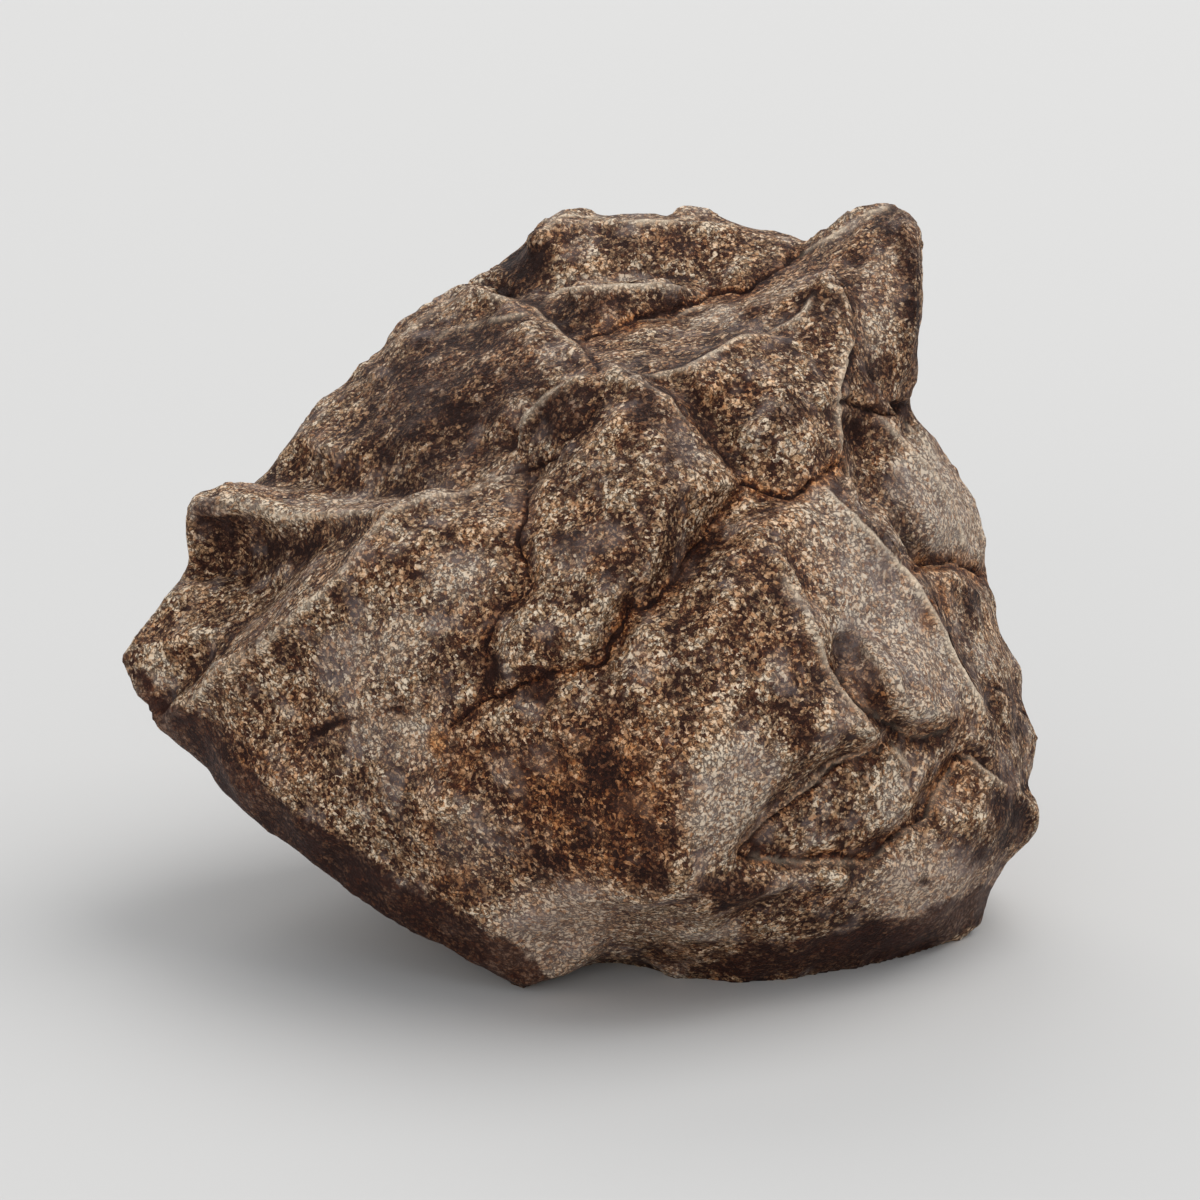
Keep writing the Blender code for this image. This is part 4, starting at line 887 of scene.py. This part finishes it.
class Shader:
    """A material that is being put together from nodes."""

    def __init__(self, name):
        self.material = bpy.data.materials.new(name)
        self.material.use_nodes = True
        self.tree = self.material.node_tree
        self.surface = self.tree.nodes["Principled BSDF"]

    def node(self, kind, settings=None, inputs=None):
        """A new node with those settings, and those values or links in its sockets."""
        made = self.tree.nodes.new(kind)
        for name, value in (settings or {}).items():
            setattr(made, name, value)
        for name, value in (inputs or {}).items():
            self.feed(made.inputs[name], value)
        return made

    def feed(self, socket, value):
        """Link or set a socket."""
        if isinstance(value, Number):
            value = value.socket
        if isinstance(value, bpy.types.NodeSocket):
            self.tree.links.new(value, socket)
        else:
            socket.default_value = value

    def maths(self, operation, first, second, clamp=False):
        """The number that a Math node makes of two numbers."""
        made = self.node(
            "ShaderNodeMath", {"operation": operation, "use_clamp": clamp}, {0: first, 1: second}
        )
        return Number(self, made.outputs[0])

    def vector(self, operation, first, second):
        """The vector that a Vector Math node makes of two vectors, or of a vector and a scale."""
        inputs = {0: first, "Scale" if operation == "SCALE" else 1: second}
        return self.node("ShaderNodeVectorMath", {"operation": operation}, inputs).outputs[0]

    def field(self, name):
        """A number kept on the piece's points."""
        made = self.node("ShaderNodeAttribute", {"attribute_name": name})
        return Number(self, made.outputs["Fac"])

    def mix(self, share, first, second, blend="MIX"):
        """One colour turned into another by a share from 0 to 1."""
        # A Mix node has a socket of each name for each kind of value, so the colours' are taken by number
        made = self.node("ShaderNodeMix", {"data_type": "RGBA", "blend_type": blend})
        self.feed(made.inputs[0], share)
        self.feed(made.inputs[6], first)
        self.feed(made.inputs[7], second)
        return made.outputs[2]

    def noise(self, place, size, detail, roughness):
        """Cloudy noise from 0 to 1 whose waves are size metres across."""
        made = self.node(
            "ShaderNodeTexNoise", None,
            {"Vector": place, "Scale": 1.0 / size, "Detail": detail, "Roughness": roughness},
        )
        return Number(self, made.outputs["Fac"])


def opaque(color):
    """The colour with an alpha of 1, as a node's socket takes it."""
    return (*color[:3], 1.0)


def stone_material(settings):
    """Dark brown stone packed with tan grains, with rust in its cracks and a dark crust along its foot."""
    shader = Shader("meteorite_stone")
    place = shader.node("ShaderNodeTexCoord").outputs["Object"]
    speck = settings.speck_size

    jitter = shader.node(
        "ShaderNodeTexNoise", None, {"Vector": place, "Scale": 1.0 / (1.2 * speck), "Detail": 2.0}
    ).outputs["Color"]
    jitter = shader.vector("SUBTRACT", jitter, (0.5, 0.5, 0.5))
    bent = shader.vector("ADD", place, shader.vector("SCALE", jitter, 1.3 * speck))
    grains = shader.node("ShaderNodeTexVoronoi", None, {"Vector": bent, "Scale": 1.0 / speck})
    parts = shader.node("ShaderNodeSeparateColor", None, {"Color": grains.outputs["Color"]})
    tone = Number(shader, parts.outputs[0])
    kind = Number(shader, parts.outputs[1])

    clouds = {
        name: shader.noise(place, size * MM, detail, roughness)
        for name, (size, detail, roughness) in CLOUDS.items()
    }
    blotches = clouds["blotch"]
    curls = shader.noise(place, 1.7 * speck, 2.0, 0.6)
    dust = shader.noise(place, 0.45 * speck, 2.0, 0.7)

    rust, dark, pale, crust, edge, bulk, worn_and_lit, hidden = (
        shader.field(name)
        for name in ("rust", "dark", "pale", "crust", "edge_fine", "edge_broad", "worn_and_lit", "hidden")
    )

    patches = clouds["skin"] + 0.3 * (dust - 0.5)
    skin = (patches + 0.2 * dark - 0.16 * pale - 0.05 * edge).ramp(0.5, 0.66)
    left_crust = (crust + 1.5 * (blotches - 0.5) + 0.6 * (dust - 0.5)).ramp(0.4, 0.8)
    crusted = hidden * (clouds["hidden crust"] + 0.3 * (dust - 0.5)).ramp(0.5, 0.62)
    # The pale field lifts the colour with painted light and sheen, the dark field lowers it with painted
    # shade as well as stains
    light = (
        0.57 + 0.75 * (tone - 0.5) + 1.05 * (dust - 0.5)
        + 1.0 * (blotches - 0.5) + 0.9 * (clouds["shade"] - 0.5)
        + 0.14 * edge + 0.12 * bulk + 0.34 * pale - 0.22 * dark - 0.16 * left_crust - 0.1 * skin
    )
    color = shader.mix(light.ramp(0.1, 0.42), opaque(settings.dark), opaque(settings.brown))
    color = shader.mix(light.ramp(0.35, 0.65), color, opaque(settings.tan))
    color = shader.mix(light.ramp(0.68, 1.0), color, opaque(settings.cream))
    gaps = 1.0 - (abs(curls - 0.5) * 9.0).ramp(0.0, 1.0)
    color = shader.mix(gaps * 0.85, color, opaque(settings.dark))

    # Pale places turn grey as well: a painted sheen, beside the stone's own grey patches
    greyness = (clouds["grey"].ramp(0.5, 0.68) * 0.55 + 0.6 * pale).clamped()
    color = shader.mix(greyness * 0.55, color, opaque(settings.grey))
    warm = kind.ramp(0.7, 0.95) * 0.4
    ember = (clouds["ember"] + 0.4 * (dust - 0.5)).ramp(0.46, 0.66) * (1.0 - 0.8 * pale)
    stain = (warm + 0.32 * ember + rust * (0.5 + 0.9 * blotches)).clamped()
    color = shader.mix(stain, color, opaque(settings.rust), "MULTIPLY")
    # The dark field in this tint is painted shade behind edges and in hollows as well as cracks and stains
    shade = (0.45 * skin + 0.85 * left_crust + 0.55 * dark + 0.6 * crusted).clamped()
    color = shader.mix(shade, color, opaque(settings.stain), "MULTIPLY")
    color = shader.mix((0.15 * skin + 0.25 * left_crust).clamped(), color, opaque(settings.skin))
    # The lips' cream line: wear with a painted highlight
    color = shader.mix((worn_and_lit * (0.2 + 0.9 * dust + 0.3 * tone)).clamped(), color, opaque(settings.cream))
    # The darkest places, crack cores and the deepest painted shadows, take the crust colour
    color = shader.mix(dark.ramp(0.75, 1.0) * 0.8, color, opaque(settings.dark))

    shader.feed(shader.surface.inputs["Base Color"], color)
    shader.feed(shader.surface.inputs["Roughness"], 0.66 - 0.12 * crust - 0.1 * (tone - 0.5))
    shader.surface.inputs["Specular IOR Level"].default_value = GLOSS
    relief = (0.35 * tone + 0.4 * dust + 0.8 * blotches - 0.45 * gaps) * (1.0 - 0.6 * crust)
    bump = shader.node(
        "ShaderNodeBump", None, {"Strength": BUMP_STRENGTH, "Distance": BUMP_DEPTH * MM, "Height": relief}
    )
    shader.feed(shader.surface.inputs["Normal"], bump.outputs["Normal"])
    return shader.material


class MESH_OT_meteorite_stone(bpy.types.Operator):
    """Add the meteorite over the frame's solid"""

    bl_idname = "mesh.meteorite_stone"
    bl_label = "Meteorite"

    def execute(self, context):
        settings = context.scene.meteorite_stone
        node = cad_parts[NODE]
        low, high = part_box(NODE)
        stone = copy_solid(node, "stone")
        apply_modifier(stone, "REMESH", mode="VOXEL", voxel_size=settings.grain)
        apply_modifier(stone, "SMOOTH", factor=0.5, iterations=rounds_for(ROUNDING, settings.grain))
        close_troughs(stone.data, settings.grain)
        sharpen(stone.data, settings.grain)
        divide_near_lines(stone)
        points = carve(stone.data, settings)
        write_points(stone.data, keep_in_box(points, low, high))
        keep_edge_fields(stone.data, settings.grain)
        bpy.ops.object.shade_smooth()
        stone.data.materials.append(stone_material(settings))
        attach(stone, "root")
        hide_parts(NODE)
        return {"FINISHED"}


def add_lamp(name, place, size, power, color):
    """A square soft lamp at a place, facing the stone's middle."""
    lamp = bpy.data.objects.new(name, bpy.data.lights.new(name, "AREA"))
    lamp.data.size = size
    lamp.data.energy = power
    lamp.data.color = color
    lamp.location = place
    lamp.rotation_euler = (Vector(LAMP_AIM) - Vector(place)).to_track_quat("-Z", "Y").to_euler()
    bpy.context.scene.collection.objects.link(lamp)


class SCENE_OT_meteorite_stage(bpy.types.Operator):
    """Add the pale floor, the soft lamps and the camera"""

    bl_idname = "scene.meteorite_stage"
    bl_label = "Studio"

    def execute(self, context):
        settings = context.scene.meteorite_stage
        bpy.ops.object.select_all(action="DESELECT")
        bpy.ops.mesh.primitive_plane_add(size=settings.floor_size, location=(0.0, 0.0, 0.0))
        floor = context.object
        floor.name = "floor"
        paint = Shader("floor")
        paint.surface.inputs["Base Color"].default_value = opaque(settings.floor_color)
        paint.surface.inputs["Roughness"].default_value = FLOOR_ROUGHNESS
        floor.data.materials.append(paint.material)

        world = bpy.data.worlds.new("studio")
        world.use_nodes = True
        sky = world.node_tree.nodes["Background"]
        sky.inputs["Color"].default_value = SKY_COLOR
        sky.inputs["Strength"].default_value = settings.sky
        context.scene.world = world

        for name, (place, side, color) in LAMPS.items():
            add_lamp(name, place, side, getattr(settings, name), color)

        aim = to_world(0, VIEW_MIDDLE_UP, 0)
        camera = bpy.data.objects.new("camera", bpy.data.cameras.new("camera"))
        camera.data.sensor_fit = "HORIZONTAL"
        camera.data.angle = 2 * math.atan(VIEW_HALF_WIDTH / VIEW_DISTANCE)
        camera.location = aim + towards_viewer() * VIEW_DISTANCE * MM
        camera.rotation_euler = towards_viewer().to_track_quat("Z", "Y").to_euler()
        context.scene.collection.objects.link(camera)
        context.scene.camera = camera
        context.scene.view_settings.view_transform = "Standard"
        return {"FINISHED"}


class VIEW3D_PT_meteorite(bpy.types.Panel):
    """Buttons and settings for the meteorite and its studio"""

    bl_idname = "VIEW3D_PT_meteorite"
    bl_label = "Meteorite"
    bl_space_type = "VIEW_3D"
    bl_region_type = "UI"
    bl_category = "Meteorite"

    def draw(self, context):
        layout = self.layout
        for operator, settings in (
            (MESH_OT_meteorite_stone, context.scene.meteorite_stone),
            (SCENE_OT_meteorite_stage, context.scene.meteorite_stage),
        ):
            layout.operator(operator.bl_idname)
            for name in settings.__annotations__:
                layout.prop(settings, name)


CLASSES = (
    MeteoriteStone,
    MeteoriteStage,
    MESH_OT_meteorite_stone,
    SCENE_OT_meteorite_stage,
    VIEW3D_PT_meteorite,
)


def register():
    for item in CLASSES:
        bpy.utils.register_class(item)
    bpy.types.Scene.meteorite_stone = bpy.props.PointerProperty(type=MeteoriteStone)
    bpy.types.Scene.meteorite_stage = bpy.props.PointerProperty(type=MeteoriteStage)


def unregister():
    del bpy.types.Scene.meteorite_stage
    del bpy.types.Scene.meteorite_stone
    for item in reversed(CLASSES):
        bpy.utils.unregister_class(item)


def main():
    register()
    bpy.ops.mesh.meteorite_stone()
    bpy.ops.scene.meteorite_stage()


if __name__ == "__main__":
    main()
